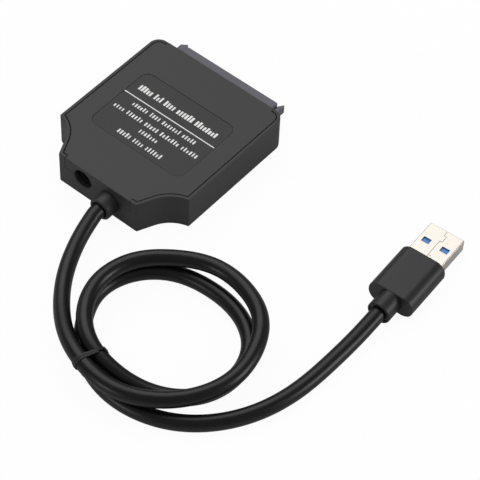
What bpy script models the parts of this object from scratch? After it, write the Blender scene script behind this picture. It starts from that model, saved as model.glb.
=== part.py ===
"""USB 3 to SATA adapter: a small box with a drive connector, and its cable to a USB plug.

Frame: origin at the middle of the box's underside, +Y towards the drive connector,
+X towards the side where the looped cable and the USB plug lie, +Z up.
"""
import math

import bmesh
import bpy
import numpy as np
from mathutils import Matrix, Vector

MM = 0.001

# Box, outside
BOX_WIDTH = 52.9 * MM
BOX_LENGTH = 58.0 * MM
BOX_HEIGHT = 12.6 * MM
SIDE_LENGTH = 46.0 * MM
REAR_FACE_WIDTH = 31.6 * MM
FRONT_CORNER_RADIUS = 3.8 * MM
CUT_RADIUS = 11.8 * MM
CUT_LINE_ANGLE = math.radians(65)

# Box, walls and lid
WALL = 2.0 * MM
FLOOR = 1.5 * MM
RIM_WIDTH = 1.1 * MM
LID_THICKNESS = 1.4 * MM
LID_GAP = 0.25 * MM
REAR_SKIRT_WIDTH = 26.4 * MM
SEAM_HEIGHT = 7.9 * MM
FRONT_NOTCH_WIDTH = 44.2 * MM
FRONT_NOTCH_BOTTOM = 2.8 * MM
REST_GAP = 0.3 * MM

# Label on the lid
LABEL_WIDTH = 37.1 * MM
LABEL_LENGTH = 27.4 * MM
LABEL_CENTRE_Y = 1.1 * MM
LABEL_CORNER = 3.0 * MM
LABEL_THICKNESS = 0.2 * MM
LABEL_RECESS = 0.6 * MM
LABEL_MARGIN = 0.25 * MM

# Circuit board and the posts that hold it
BOARD_BOTTOM = 2.1 * MM
BOARD_THICKNESS = 1.2 * MM
BOARD_TOP = BOARD_BOTTOM + BOARD_THICKNESS
BOARD_FRONT_Y = 21.9 * MM
BOARD_REAR_Y = -24.4 * MM
BOARD_EDGE_GAP = 0.5 * MM
POST_RADIUS = 1.7 * MM
PEG_RADIUS = 0.7 * MM
PEG_HEIGHT = 0.7 * MM
POST_ROOT = 0.7 * MM
POST_FRONT_SIDE_INSET = 5.95 * MM
POST_FRONT_INSET = 17.5 * MM
POST_REAR_SIDE_INSET = 6.15 * MM
POST_REAR_INSET = 16.0 * MM

# Parts soldered to the board: length and width of each, and its height above the board
LEFT_COLUMN_INSET = 11.45 * MM
RIGHT_COLUMN_INSET = 10.95 * MM
BRIDGE_CHIP_SIZE = (9.0 * MM, 9.0 * MM, 1.2 * MM)
BRIDGE_CHIP_PLACE = (2.0 * MM, 1.5 * MM)
MEMORY_CHIP_SIZE = (5.0 * MM, 4.0 * MM, 1.5 * MM)
MEMORY_CHIP_PLACE = (12.5 * MM, 4.0 * MM)
CRYSTAL_SIZE = (3.2 * MM, 5.0 * MM, 1.1 * MM)
CRYSTAL_PLACE = (-6.5 * MM, 2.5 * MM)
REGULATOR_SIZE = (6.5 * MM, 3.5 * MM, 1.6 * MM)
REGULATOR_Y = -9.5 * MM
DIODE_SIZE = (4.5 * MM, 2.6 * MM, 2.0 * MM)
DIODE_Y = 11.0 * MM
CHIP_BEVEL = 0.15 * MM
CAN_BEVEL = 0.3 * MM
INDUCTOR_Y = 1.5 * MM
INDUCTOR_RADIUS = 3.0 * MM
INDUCTOR_HEIGHT = 3.2 * MM
INDUCTOR_CORE_RADIUS = 2.1 * MM
INDUCTOR_RIM = 0.6 * MM
CAPACITOR_RADIUS = 2.5 * MM
CAPACITOR_HEIGHT = 5.4 * MM
INPUT_CAPACITOR_Y = -6.5 * MM
OUTPUT_CAPACITOR_PLACE = (9.5 * MM, 11.5 * MM)

# Drive connector
SATA_WIDTH = 37.2 * MM
SATA_TOP = 8.0 * MM
SATA_BOTTOM = 3.1 * MM
SATA_FRONT_Y = 35.1 * MM
SATA_SHELF_LENGTH = 5.0 * MM
SATA_SHELF_TOP = 6.6 * MM
GUIDE_OUTER_X = 21.85 * MM
GUIDE_GAP = 0.6 * MM
GUIDE_RIGHT_OUTER_X = 20.4 * MM
GUIDE_TOP = 7.0 * MM
GUIDE_BOTTOM = 3.7 * MM
GUIDE_TIP_Y = 36.5 * MM
GUIDE_TIP_CHAMFER = 1.3 * MM
GUIDE_RIGHT_CHAMFER = 0.25 * MM
FLANGE_LENGTH = 3.0 * MM
FLANGE_STEP = 0.4 * MM
SLOT_BOTTOM = 4.7 * MM
SLOT_HEIGHT = 1.5 * MM
SLOT_DEPTH = 6.2 * MM
SLOT_KEY_DROP = 1.0 * MM
SLOT_KEY_WIDTH = 1.4 * MM
SIGNAL_SLOT_WIDTH = 10.2 * MM
POWER_SLOT_WIDTH = 20.6 * MM
SLOT_SPACE = 2.2 * MM
CONTACT_PITCH = 1.27 * MM
CONTACT_WIDTH = 0.6 * MM
CONTACT_THICKNESS = 0.3 * MM
CONTACT_TAIL = 1.2 * MM
CONTACT_SETBACK = 1.2 * MM
CONTACT_DROP_GAP = 0.6 * MM
CONTACT_CHANNEL_WIDTH = 0.95 * MM
CONTACT_CHANNEL_CLEARANCE = 0.3 * MM
SIGNAL_CONTACTS = 7
POWER_CONTACTS = 15

# DC power socket
JACK_X = -6.1 * MM
JACK_DROP = 4.9 * MM
JACK_Z = BOX_HEIGHT - JACK_DROP
JACK_HOLE_RADIUS = 3.35 * MM
JACK_BORE_RADIUS = 2.75 * MM
JACK_WIDTH = 9.0 * MM
JACK_LENGTH = 11.0 * MM
JACK_RELIEF = 0.6 * MM
JACK_BORE_DEPTH = 9.5 * MM
JACK_PIN_RADIUS = 1.0 * MM
JACK_PIN_SETBACK = 1.0 * MM
JACK_PIN_NOSE = 0.4 * MM
JACK_SPRING_WIDTH = 1.6 * MM
JACK_SPRING_THICKNESS = 0.3 * MM
JACK_SPRING_LENGTH = 6.0 * MM
JACK_SPRING_RISE = 0.35 * MM

# Cable and its boot at the box
CABLE_DIAMETER = 5.1 * MM
BOOT_X = 5.0 * MM
BOOT_Z = BOX_HEIGHT / 2
BOOT_RADIUS = 3.85 * MM
BOOT_LENGTH = 4.8 * MM
BOOT_ROUNDING = 0.6 * MM
BOOT_WALL_RADIUS = 3.4 * MM
BOOT_FLANGE_RADIUS = 4.2 * MM
BOOT_FLANGE_THICKNESS = 1.4 * MM
INNER_CABLE_LENGTH = 5.0 * MM
LEAD_DIAMETER = 0.9 * MM
LEAD_RING_RADIUS = 1.5 * MM
LEAD_LENGTH = 8.0 * MM
LEAD_PITCH = 2.2 * MM
LEAD_POINT_SPACING = 1.3 * MM
LEAD_NAMES = ["red", "white", "green", "blue", "black"]

# USB plug, measured along its own axis from the open end
PLUG_TIP = Vector((89.82 * MM, 29.54 * MM, 4.0 * MM))
PLUG_TURN = math.radians(3.4)
SHELL_WIDTH = 12.0 * MM
SHELL_HEIGHT = 4.5 * MM
SHELL_THICKNESS = 0.32 * MM
SHELL_EXPOSED = 12.9 * MM
SHELL_BURIED = 4.0 * MM
SHELL_CORNER = 0.4 * MM
WINDOW_WIDTH = 2.7 * MM
WINDOW_LENGTH = 2.15 * MM
WINDOW_CENTRE_X = 3.3 * MM
WINDOW_CENTRE_BACK = 6.85 * MM
OVERMOULD_WIDTH = 15.6 * MM
OVERMOULD_HEIGHT = 8.0 * MM
OVERMOULD_CORNER = 3.7 * MM
OVERMOULD_LENGTH = 18.1 * MM
NECK_RADIUS = 3.9 * MM
NECK_LENGTH = 6.3 * MM
NECK_ROUNDING = 0.6 * MM
FIT_GAP = 0.25 * MM
TONGUE_THICKNESS = 1.9 * MM
TONGUE_SETBACK = 0.6 * MM
FLAT_CONTACTS = 4
FLAT_CONTACT_PITCH = 2.3 * MM
FLAT_CONTACT_WIDTH = 1.1 * MM
FLAT_CONTACT_LENGTH = 5.5 * MM
FAST_CONTACTS = 5
FAST_CONTACT_PITCH = 1.9 * MM
FAST_CONTACT_WIDTH = 0.7 * MM
FAST_CONTACT_LENGTH = 3.0 * MM
USB_CONTACT_THICKNESS = 0.25 * MM
USB_CONTACT_SETBACK = 0.9 * MM

# Twist tie round the three strands of the cable
TIE_CENTRE = Vector((41.45 * MM, -77.66 * MM, 0))
TIE_HEADING = math.radians(-20)
TIE_THICKNESS = 0.4 * MM
TIE_WIDTH = 1.5 * MM
TIE_GAP = 0.35 * MM

# The cable's route, in millimetres, from the boot round the two loops to the plug
CABLE_ROUTE = [
    (6.6, -42.4, 5.5), (12.6, -56.8, 4.2), (20.0, -66.6, 4.9), (29.5, -74.8, 6.9), (40.5, -80.0, 8.5),
    (52.3, -81.2, 8.3), (63.6, -76.9, 8.1), (72.2, -68.2, 8.0), (76.6, -56.8, 8.0), (75.2, -44.8, 8.0),
    (69.0, -34.4, 8.0), (58.2, -28.8, 8.0), (46.0, -28.4, 7.9), (35.2, -33.8, 7.9), (26.8, -42.6, 7.9),
    (24.2, -54.4, 8.0), (28.8, -66.0, 8.3), (38.5, -73.8, 8.4), (50.0, -75.2, 5.9), (61.4, -71.8, 3.2),
    (71.0, -64.0, 2.6), (74.4, -52.4, 2.6), (70.4, -40.8, 2.6), (60.4, -34.0, 2.6), (48.4, -32.4, 2.6),
    (36.4, -35.0, 2.6), (27.4, -42.8, 2.6), (24.0, -54.4, 2.6), (28.3, -66.0, 2.9), (37.1, -75.5, 3.5),
    (47.8, -79.9, 3.0), (59.8, -79.8, 2.6), (71.2, -75.6, 2.6), (80.6, -67.6, 2.6), (87.0, -57.4, 2.6),
    (90.6, -45.6, 2.6), (92.0, -29.0, 2.7), (92.2, -17.0, 3.2),
]
CABLE_POINT_SPACING = 6.5 * MM
CABLE_STRAIGHT = 1.5 * MM

FRONT_Y = BOX_LENGTH / 2
REAR_Y = -BOX_LENGTH / 2


# Scene, collections and materials
for old in list(bpy.data.objects):
    bpy.data.objects.remove(old, do_unlink=True)

PARTS = bpy.data.collections.new("usb_to_sata_adapter")
CUTTERS = bpy.data.collections.new("cutters")
bpy.context.scene.collection.children.link(PARTS)
bpy.context.scene.collection.children.link(CUTTERS)


def new_material(name, colour, roughness, metallic=0.0):
    material = bpy.data.materials.new(name)
    material.use_nodes = True
    shader = material.node_tree.nodes["Principled BSDF"]
    shader.inputs["Base Color"].default_value = (*colour, 1.0)
    shader.inputs["Roughness"].default_value = roughness
    shader.inputs["Metallic"].default_value = metallic
    material.diffuse_color = (*colour, 1.0)
    return material


BOX_PLASTIC = new_material("charcoal_abs", (0.068, 0.068, 0.072), 0.55)
LABEL_FILM = new_material("label_film", (0.055, 0.055, 0.058), 0.5)
CONNECTOR_PLASTIC = new_material("grey_violet_plastic", (0.14, 0.14, 0.165), 0.5)
BOARD_LAMINATE = new_material("green_laminate", (0.01, 0.10, 0.04), 0.4)
BLACK_RESIN = new_material("black_resin", (0.015, 0.015, 0.016), 0.45)
BLACK_VINYL = new_material("black_vinyl", (0.02, 0.02, 0.022), 0.4)
PLUG_VINYL = new_material("plug_vinyl", (0.055, 0.055, 0.06), 0.45)
NICKEL = new_material("nickel", (0.75, 0.73, 0.70), 0.25, 1.0)
GOLD_PLATE = new_material("gold_plate", (0.80, 0.55, 0.20), 0.3, 1.0)
BLUE_PLASTIC = new_material("blue_plastic", (0.05, 0.20, 0.60), 0.4)
LEAD_COLOURS = {
    "red": (0.5, 0.02, 0.02), "white": (0.7, 0.7, 0.7), "green": (0.02, 0.3, 0.05),
    "blue": (0.02, 0.08, 0.45), "black": (0.02, 0.02, 0.02),
}


# Builders
def add_object(name, mesh, material, collection=PARTS, parent=None):
    obj = bpy.data.objects.new(name, mesh)
    collection.objects.link(obj)
    if material is not None and hasattr(mesh, "materials"):
        mesh.materials.clear()
        mesh.materials.append(material)
    if parent is not None:
        obj.parent = parent
    return obj


def mesh_from(bm, name):
    bmesh.ops.recalc_face_normals(bm, faces=bm.faces)
    mesh = bpy.data.meshes.new(name)
    bm.to_mesh(mesh)
    bm.free()
    return mesh


def box_into(bm, low, high):
    size = Vector(high) - Vector(low)
    place = Matrix.Translation((Vector(high) + Vector(low)) / 2) @ Matrix.Diagonal((*size, 1.0))
    return bmesh.ops.create_cube(bm, size=1.0, matrix=place)


def box_mesh(name, low, high, bevel=0.0):
    bm = bmesh.new()
    box_into(bm, low, high)
    if bevel > 0:
        bmesh.ops.bevel(bm, geom=bm.edges[:], offset=bevel, segments=1, affect="EDGES")
    return mesh_from(bm, name)


def prism_into(bm, outline, start, end, axis="Z"):
    """An outline given in two axes, run along the third from start to end."""
    def place(u, v, w):
        if axis == "Z":
            return (u, v, w)
        if axis == "Y":
            return (u, w, v)
        return (w, u, v)
    corners = [bm.verts.new(place(u, v, start)) for u, v in outline]
    face = bm.faces.new(corners)
    grown = bmesh.ops.extrude_face_region(bm, geom=[face])
    moved = [item for item in grown["geom"] if isinstance(item, bmesh.types.BMVert)]
    bmesh.ops.translate(bm, verts=moved, vec=Vector(place(0, 0, end)) - Vector(place(0, 0, start)))
    return face


def prism_mesh(name, outline, start, end, axis="Z"):
    bm = bmesh.new()
    prism_into(bm, outline, start, end, axis)
    return mesh_from(bm, name)


def cylinder_into(bm, centre, radius, length, axis="Z", sides=32):
    turn = {"Z": Matrix.Identity(4), "Y": Matrix.Rotation(math.radians(90), 4, "X")}[axis]
    bmesh.ops.create_cone(
        bm, cap_ends=True, segments=sides, radius1=radius, radius2=radius, depth=length,
        matrix=Matrix.Translation(centre) @ turn,
    )


def cylinder_mesh(name, centre, radius, length, axis="Z", sides=32):
    bm = bmesh.new()
    cylinder_into(bm, centre, radius, length, axis, sides)
    return mesh_from(bm, name)


def turned_object(name, profile, material, location, rotation=(0, 0, 0), parent=None, steps=32):
    """A profile of (radius, height) points, top to bottom on its outer side, turned about Z."""
    bm = bmesh.new()
    chain = [bm.verts.new((radius, 0, height)) for radius, height in profile]
    for first, second in zip(chain, chain[1:]):
        bm.edges.new((first, second))
    if profile[0][0] > 0:
        bm.edges.new((chain[-1], chain[0]))
    mesh = bpy.data.meshes.new(name)
    bm.to_mesh(mesh)
    bm.free()
    obj = add_object(name, mesh, material, parent=parent)
    obj.location = location
    obj.rotation_euler = rotation
    screw = obj.modifiers.new("turn", "SCREW")
    screw.steps = steps
    screw.render_steps = steps
    screw.use_merge_vertices = True
    screw.merge_threshold = 1e-6
    return obj


def combine(obj, mesh, operation):
    """Cut a shape out of an object, or join one to it, with a Boolean."""
    name = f"{obj.name}_{operation.lower()}_{len(obj.modifiers) + 1}"
    tool = add_object(name, mesh, None, CUTTERS, obj.parent)
    tool.hide_render = True
    tool.display_type = "WIRE"
    boolean = obj.modifiers.new(operation.lower(), "BOOLEAN")
    boolean.object = tool
    boolean.operation = operation
    boolean.solver = "EXACT"
    return tool


def cut(obj, mesh):
    return combine(obj, mesh, "DIFFERENCE")


def join(obj, mesh):
    return combine(obj, mesh, "UNION")


def rounded_rectangle(width, height, radius, centre=(0, 0), steps=5):
    points = []
    for quarter, (side_x, side_y) in enumerate([(1, 1), (-1, 1), (-1, -1), (1, -1)]):
        middle_x = centre[0] + side_x * (width / 2 - radius)
        middle_y = centre[1] + side_y * (height / 2 - radius)
        for step in range(steps + 1):
            angle = math.pi / 2 * (quarter + step / steps)
            points.append((middle_x + radius * math.cos(angle), middle_y + radius * math.sin(angle)))
    return points


def box_outline(inset, square_front=None, rear=None, steps=8):
    """The box's plan, moved in by inset: rounded front corners, concave cuts at the rear corners.

    A board cut to this plan has a square front edge at square_front and its rear edge at rear.
    """
    half = BOX_WIDTH / 2
    side_corner = Vector((half, FRONT_Y - SIDE_LENGTH))
    rear_corner = Vector((REAR_FACE_WIDTH / 2, REAR_Y))
    along = Vector((math.cos(CUT_LINE_ANGLE), math.sin(CUT_LINE_ANGLE)))
    outward = Vector((math.sin(CUT_LINE_ANGLE), -math.cos(CUT_LINE_ANGLE)))
    base = rear_corner + outward * CUT_RADIUS
    gap = side_corner - base
    reach = gap.dot(along)
    run = reach - math.sqrt(reach * reach - gap.dot(gap) + CUT_RADIUS * CUT_RADIUS)
    centre = base + along * run
    radius = CUT_RADIUS + inset
    side_x = half - inset
    rear_y = REAR_Y + inset if rear is None else rear
    start = math.atan2(math.sqrt(radius * radius - (side_x - centre.x) ** 2), side_x - centre.x)
    end = math.atan2(-outward.y, -outward.x)
    right = []
    if square_front is None:
        corner = max(FRONT_CORNER_RADIUS - inset, REST_GAP)
        middle = (half - inset - corner, FRONT_Y - inset - corner)
        for step in range(steps + 1):
            angle = math.pi / 2 * (1 - step / steps)
            right.append((middle[0] + corner * math.cos(angle), middle[1] + corner * math.sin(angle)))
    else:
        right.append((side_x, square_front))
    for step in range(steps + 1):
        angle = start + (end - start) * step / steps
        right.append((centre.x + radius * math.cos(angle), centre.y + radius * math.sin(angle)))
    last = Vector(right[-1])
    drop = (last.y - rear_y) / along.y
    foot = last - along * drop
    right.append((foot.x, foot.y))
    left = [(-x, y) for x, y in reversed(right)]
    return right + left


# Places of the four posts under the board and of the four that come down from the lid
post_front_x = BOX_WIDTH / 2 - POST_FRONT_SIDE_INSET
post_rear_x = BOX_WIDTH / 2 - POST_REAR_SIDE_INSET
post_front_y = FRONT_Y - POST_FRONT_INSET
post_rear_y = REAR_Y + POST_REAR_INSET
POST_PLACES = [
    (-post_front_x, post_front_y), (post_front_x, post_front_y),
    (-post_rear_x, post_rear_y), (post_rear_x, post_rear_y)]


def post_mesh(name, radius, bottom, top):
    """One round post at each of the four places, in one mesh."""
    bm = bmesh.new()
    for x, y in POST_PLACES:
        cylinder_into(bm, (x, y, (bottom + top) / 2), radius, top - bottom, sides=20)
    return mesh_from(bm, name)


# Bottom shell: floor, walls and the rim that shows round the lid
shell = add_object(
    "bottom_shell", prism_mesh("bottom_shell", box_outline(0), 0, BOX_HEIGHT), BOX_PLASTIC)
ABOVE = BOX_HEIGHT + 2 * MM
cut(shell, prism_mesh("cavity", box_outline(WALL), FLOOR, ABOVE))
LID_BOTTOM = BOX_HEIGHT - LID_THICKNESS
cut(shell, prism_mesh("lid_seat", box_outline(RIM_WIDTH), LID_BOTTOM - REST_GAP, ABOVE))
rear_opening = REAR_SKIRT_WIDTH / 2 + LID_GAP
cut(shell, box_mesh(
    "rear_notch", (-rear_opening, REAR_Y - MM, SEAM_HEIGHT), (rear_opening, REAR_Y + WALL + MM, ABOVE)))
front_opening = FRONT_NOTCH_WIDTH / 2
cut(shell, box_mesh(
    "front_notch", (-front_opening, FRONT_Y - WALL - MM, FRONT_NOTCH_BOTTOM),
    (front_opening, FRONT_Y + MM, ABOVE)))
join(shell, post_mesh("board_posts", POST_RADIUS, FLOOR - POST_ROOT, BOARD_BOTTOM - REST_GAP))
join(shell, post_mesh("board_pegs", PEG_RADIUS, FLOOR - POST_ROOT / 2, BOARD_TOP + PEG_HEIGHT))

# Lid: plate with a rear skirt that closes the wall above the seam, and a front one over the connector
lid = add_object(
    "top_lid", prism_mesh("top_lid", box_outline(RIM_WIDTH + LID_GAP), LID_BOTTOM, BOX_HEIGHT), BOX_PLASTIC)
skirt = REAR_SKIRT_WIDTH / 2
join(lid, box_mesh(
    "rear_skirt", (-skirt, REAR_Y, SEAM_HEIGHT + LID_GAP), (skirt, REAR_Y + WALL, BOX_HEIGHT)))
front_skirt = front_opening - LID_GAP
join(lid, box_mesh(
    "front_skirt", (-front_skirt, FRONT_Y - WALL, SATA_TOP + REST_GAP), (front_skirt, FRONT_Y, BOX_HEIGHT)))
join(lid, post_mesh("lid_posts", POST_RADIUS, BOARD_TOP + PEG_HEIGHT + REST_GAP, LID_BOTTOM + POST_ROOT))
recess = rounded_rectangle(
    LABEL_WIDTH + 2 * LABEL_MARGIN, LABEL_LENGTH + 2 * LABEL_MARGIN, LABEL_CORNER + LABEL_MARGIN,
    (0, LABEL_CENTRE_Y))
cut(lid, prism_mesh("label_recess", recess, BOX_HEIGHT - LABEL_RECESS, ABOVE))
jack_front = REAR_Y + WALL + REST_GAP
jack_side = JACK_WIDTH / 2
jack_top = LID_BOTTOM + JACK_RELIEF - REST_GAP
cut(lid, box_mesh(
    "jack_relief", (JACK_X - jack_side - REST_GAP, jack_front - REST_GAP, LID_BOTTOM - MM),
    (JACK_X + jack_side + REST_GAP, jack_front + JACK_LENGTH + REST_GAP, LID_BOTTOM + JACK_RELIEF)))

# Openings that the lid and the shell share at the rear wall
for half_box in (shell, lid):
    cut(half_box, cylinder_mesh(
        "cable_hole", (BOOT_X, REAR_Y + WALL / 2, BOOT_Z), BOOT_WALL_RADIUS + FIT_GAP, WALL + 2 * MM, "Y"))
    cut(half_box, cylinder_mesh(
        "power_hole", (JACK_X, REAR_Y + WALL / 2, JACK_Z), JACK_HOLE_RADIUS, WALL + 2 * MM, "Y"))

label_bottom = BOX_HEIGHT - LABEL_RECESS + REST_GAP
add_object("label_plate", prism_mesh(
    "label_plate", rounded_rectangle(LABEL_WIDTH, LABEL_LENGTH, LABEL_CORNER, (0, LABEL_CENTRE_Y)),
    label_bottom, label_bottom + LABEL_THICKNESS), LABEL_FILM)

# Circuit board
board = add_object("circuit_board", prism_mesh(
    "circuit_board", box_outline(WALL + BOARD_EDGE_GAP, BOARD_FRONT_Y, BOARD_REAR_Y), BOARD_BOTTOM, BOARD_TOP),
    BOARD_LAMINATE)
cut(board, post_mesh("peg_holes", PEG_RADIUS + REST_GAP, BOARD_BOTTOM - MM, BOARD_TOP + MM))

# Drive connector: block with two keyed slots, a flange, a shelf on the board and two guide posts
SATA_BACK_Y = BOARD_FRONT_Y + REST_GAP
half_block = SATA_WIDTH / 2
guide_inner = half_block + GUIDE_GAP


def guide_outline(outer, inner, chamfer):
    """Plan of a guide post whose outer front corner is chamfered."""
    sign = 1 if outer > 0 else -1
    return [
        (inner, SATA_BACK_Y), (outer, SATA_BACK_Y), (outer, GUIDE_TIP_Y - chamfer),
        (outer - sign * chamfer, GUIDE_TIP_Y), (inner, GUIDE_TIP_Y)]


sata = add_object("sata_connector_body", box_mesh(
    "sata_connector_body", (-half_block, SATA_BACK_Y, SATA_BOTTOM), (half_block, SATA_FRONT_Y, SATA_TOP)),
    CONNECTOR_PLASTIC)
shelf_bottom = BOARD_TOP + REST_GAP
join(sata, box_mesh(
    "board_shelf", (-half_block + MM, SATA_BACK_Y - SATA_SHELF_LENGTH, shelf_bottom),
    (half_block - MM, SATA_BACK_Y + MM, SATA_SHELF_TOP)))
guide_inner_left = half_block - MM
join(sata, prism_mesh(
    "left_guide", guide_outline(-GUIDE_OUTER_X, -guide_inner_left, GUIDE_TIP_CHAMFER),
    GUIDE_BOTTOM, GUIDE_TOP))
join(sata, prism_mesh(
    "right_guide", guide_outline(GUIDE_RIGHT_OUTER_X, guide_inner, GUIDE_RIGHT_CHAMFER),
    GUIDE_BOTTOM, GUIDE_TOP))
join(sata, box_mesh(
    "flange", (half_block - MM, SATA_BACK_Y + FLANGE_STEP, GUIDE_BOTTOM + FLANGE_STEP),
    (guide_inner + MM, SATA_BACK_Y + FLANGE_LENGTH, GUIDE_TOP - FLANGE_STEP)))

slot_total = SIGNAL_SLOT_WIDTH + SLOT_SPACE + POWER_SLOT_WIDTH
signal_left = -slot_total / 2
power_left = signal_left + SIGNAL_SLOT_WIDTH + SLOT_SPACE
SLOT_TOP = SLOT_BOTTOM + SLOT_HEIGHT


def slot_outline(left, width, key_at_left):
    """Front view of an L-shaped slot: a flat gap with a short drop at one end."""
    right = left + width
    low = SLOT_BOTTOM - SLOT_KEY_DROP
    if key_at_left:
        return [
            (left, low), (left + SLOT_KEY_WIDTH, low), (left + SLOT_KEY_WIDTH, SLOT_BOTTOM),
            (right, SLOT_BOTTOM), (right, SLOT_TOP), (left, SLOT_TOP)]
    return [
        (left, SLOT_BOTTOM), (right - SLOT_KEY_WIDTH, SLOT_BOTTOM), (right - SLOT_KEY_WIDTH, low),
        (right, low), (right, SLOT_TOP), (left, SLOT_TOP)]


slots = bmesh.new()
slot_back = SATA_FRONT_Y - SLOT_DEPTH
prism_into(slots, slot_outline(signal_left, SIGNAL_SLOT_WIDTH, False), slot_back, SATA_FRONT_Y + MM, "Y")
prism_into(slots, slot_outline(power_left, POWER_SLOT_WIDTH, True), slot_back, SATA_FRONT_Y + MM, "Y")
cut(sata, mesh_from(slots, "slots"))


def contact_places(middle, count, pitch):
    return [middle + (index - (count - 1) / 2) * pitch for index in range(count)]


signal_middle = signal_left + (SIGNAL_SLOT_WIDTH - SLOT_KEY_WIDTH) / 2
power_middle = power_left + SLOT_KEY_WIDTH + (POWER_SLOT_WIDTH - SLOT_KEY_WIDTH) / 2
signal_places = contact_places(signal_middle, SIGNAL_CONTACTS, CONTACT_PITCH)
power_places = contact_places(power_middle, POWER_CONTACTS, CONTACT_PITCH)
contact_low = SLOT_BOTTOM - CONTACT_THICKNESS / 2
contact_high = contact_low + CONTACT_THICKNESS
contact_front = SATA_FRONT_Y - CONTACT_SETBACK
shelf_back = SATA_BACK_Y - SATA_SHELF_LENGTH
channels = bmesh.new()
for place_x in signal_places + power_places:
    box_into(
        channels,
        (place_x - CONTACT_CHANNEL_WIDTH / 2, shelf_back - MM, contact_low - CONTACT_CHANNEL_CLEARANCE),
        (place_x + CONTACT_CHANNEL_WIDTH / 2, contact_front + REST_GAP,
         contact_high + CONTACT_CHANNEL_CLEARANCE))
cut(sata, mesh_from(channels, "contact_channels"))

# A contact runs back through its channel, down behind the shelf and onto the board
drop_y = shelf_back - CONTACT_DROP_GAP
pad_low = BOARD_TOP + REST_GAP
contact_profile = [
    (contact_front, contact_low), (contact_front, contact_high),
    (drop_y - CONTACT_THICKNESS, contact_high), (drop_y - CONTACT_THICKNESS, pad_low + CONTACT_THICKNESS),
    (drop_y - CONTACT_TAIL, pad_low + CONTACT_THICKNESS),
    (drop_y - CONTACT_TAIL, pad_low), (drop_y, pad_low), (drop_y, contact_low)]
for kind, places in (("signal", signal_places), ("power", power_places)):
    for index, place_x in enumerate(places):
        name = f"sata_{kind}_contact_{index + 1}"
        mesh = prism_mesh(
            name, contact_profile, place_x - CONTACT_WIDTH / 2, place_x + CONTACT_WIDTH / 2, "X")
        add_object(name, mesh, GOLD_PLATE)


# Parts soldered to the board, each standing on its upper face
def board_box(name, centre, size, material, bevel=0.0):
    low = (centre[0] - size[0] / 2, centre[1] - size[1] / 2, BOARD_TOP + REST_GAP)
    high = (centre[0] + size[0] / 2, centre[1] + size[1] / 2, BOARD_TOP + REST_GAP + size[2])
    return add_object(name, box_mesh(name, low, high, bevel), material)


left_column = -BOX_WIDTH / 2 + LEFT_COLUMN_INSET
right_column = BOX_WIDTH / 2 - RIGHT_COLUMN_INSET
board_box("bridge_chip", BRIDGE_CHIP_PLACE, BRIDGE_CHIP_SIZE, BLACK_RESIN, CHIP_BEVEL)
board_box("memory_chip", MEMORY_CHIP_PLACE, MEMORY_CHIP_SIZE, BLACK_RESIN, CHIP_BEVEL)
board_box("clock_crystal", CRYSTAL_PLACE, CRYSTAL_SIZE, NICKEL, CAN_BEVEL)
board_box("voltage_regulator", (left_column, REGULATOR_Y), REGULATOR_SIZE, BLACK_RESIN, CHIP_BEVEL)
board_box("power_diode", (left_column, DIODE_Y), DIODE_SIZE, BLACK_RESIN, CHIP_BEVEL)
turned_object("power_inductor", [
    (0, INDUCTOR_HEIGHT), (INDUCTOR_RADIUS, INDUCTOR_HEIGHT),
    (INDUCTOR_RADIUS, INDUCTOR_HEIGHT - INDUCTOR_RIM),
    (INDUCTOR_CORE_RADIUS, INDUCTOR_HEIGHT - INDUCTOR_RIM), (INDUCTOR_CORE_RADIUS, INDUCTOR_RIM),
    (INDUCTOR_RADIUS, INDUCTOR_RIM), (INDUCTOR_RADIUS, 0), (0, 0)],
    BLACK_RESIN, (left_column, INDUCTOR_Y, BOARD_TOP + REST_GAP), steps=24)
capacitor_places = {
    "input_capacitor": (right_column, INPUT_CAPACITOR_Y),
    "output_capacitor": OUTPUT_CAPACITOR_PLACE}
for name, place in capacitor_places.items():
    centre = (*place, BOARD_TOP + REST_GAP + CAPACITOR_HEIGHT / 2)
    add_object(name, cylinder_mesh(name, centre, CAPACITOR_RADIUS, CAPACITOR_HEIGHT, sides=24), NICKEL)

# DC power socket behind the rear wall
jack_bottom = BOARD_TOP + REST_GAP
jack = add_object("dc_jack_body", box_mesh(
    "dc_jack_body", (JACK_X - jack_side, jack_front, jack_bottom),
    (JACK_X + jack_side, jack_front + JACK_LENGTH, jack_top)), BLACK_RESIN)
cut(jack, cylinder_mesh(
    "jack_bore", (JACK_X, jack_front + JACK_BORE_DEPTH / 2 - MM / 2, JACK_Z), JACK_BORE_RADIUS,
    JACK_BORE_DEPTH + MM, "Y", 24))
pin_start = jack_front + JACK_PIN_SETBACK
pin_length = JACK_BORE_DEPTH - JACK_PIN_SETBACK - REST_GAP
turned_object("dc_jack_pin", [
    (0, pin_length), (JACK_PIN_RADIUS - JACK_PIN_NOSE, pin_length),
    (JACK_PIN_RADIUS, pin_length - JACK_PIN_NOSE), (JACK_PIN_RADIUS, 0), (0, 0)],
    NICKEL, (JACK_X, pin_start + pin_length, JACK_Z), (math.radians(90), 0, 0), steps=20)
spring_top = JACK_Z - JACK_BORE_RADIUS + REST_GAP + JACK_SPRING_THICKNESS
spring_back = jack_front + JACK_BORE_DEPTH - REST_GAP
spring_profile = [
    (spring_back, spring_top - JACK_SPRING_THICKNESS), (spring_back, spring_top),
    (spring_back - JACK_SPRING_LENGTH / 2, spring_top + JACK_SPRING_RISE),
    (spring_back - JACK_SPRING_LENGTH, spring_top),
    (spring_back - JACK_SPRING_LENGTH, spring_top - JACK_SPRING_THICKNESS),
    (spring_back - JACK_SPRING_LENGTH / 2, spring_top + JACK_SPRING_RISE - JACK_SPRING_THICKNESS)]
add_object("dc_jack_spring", prism_mesh(
    "dc_jack_spring", spring_profile, JACK_X - JACK_SPRING_WIDTH / 2, JACK_X + JACK_SPRING_WIDTH / 2, "X"),
    NICKEL)

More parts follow.
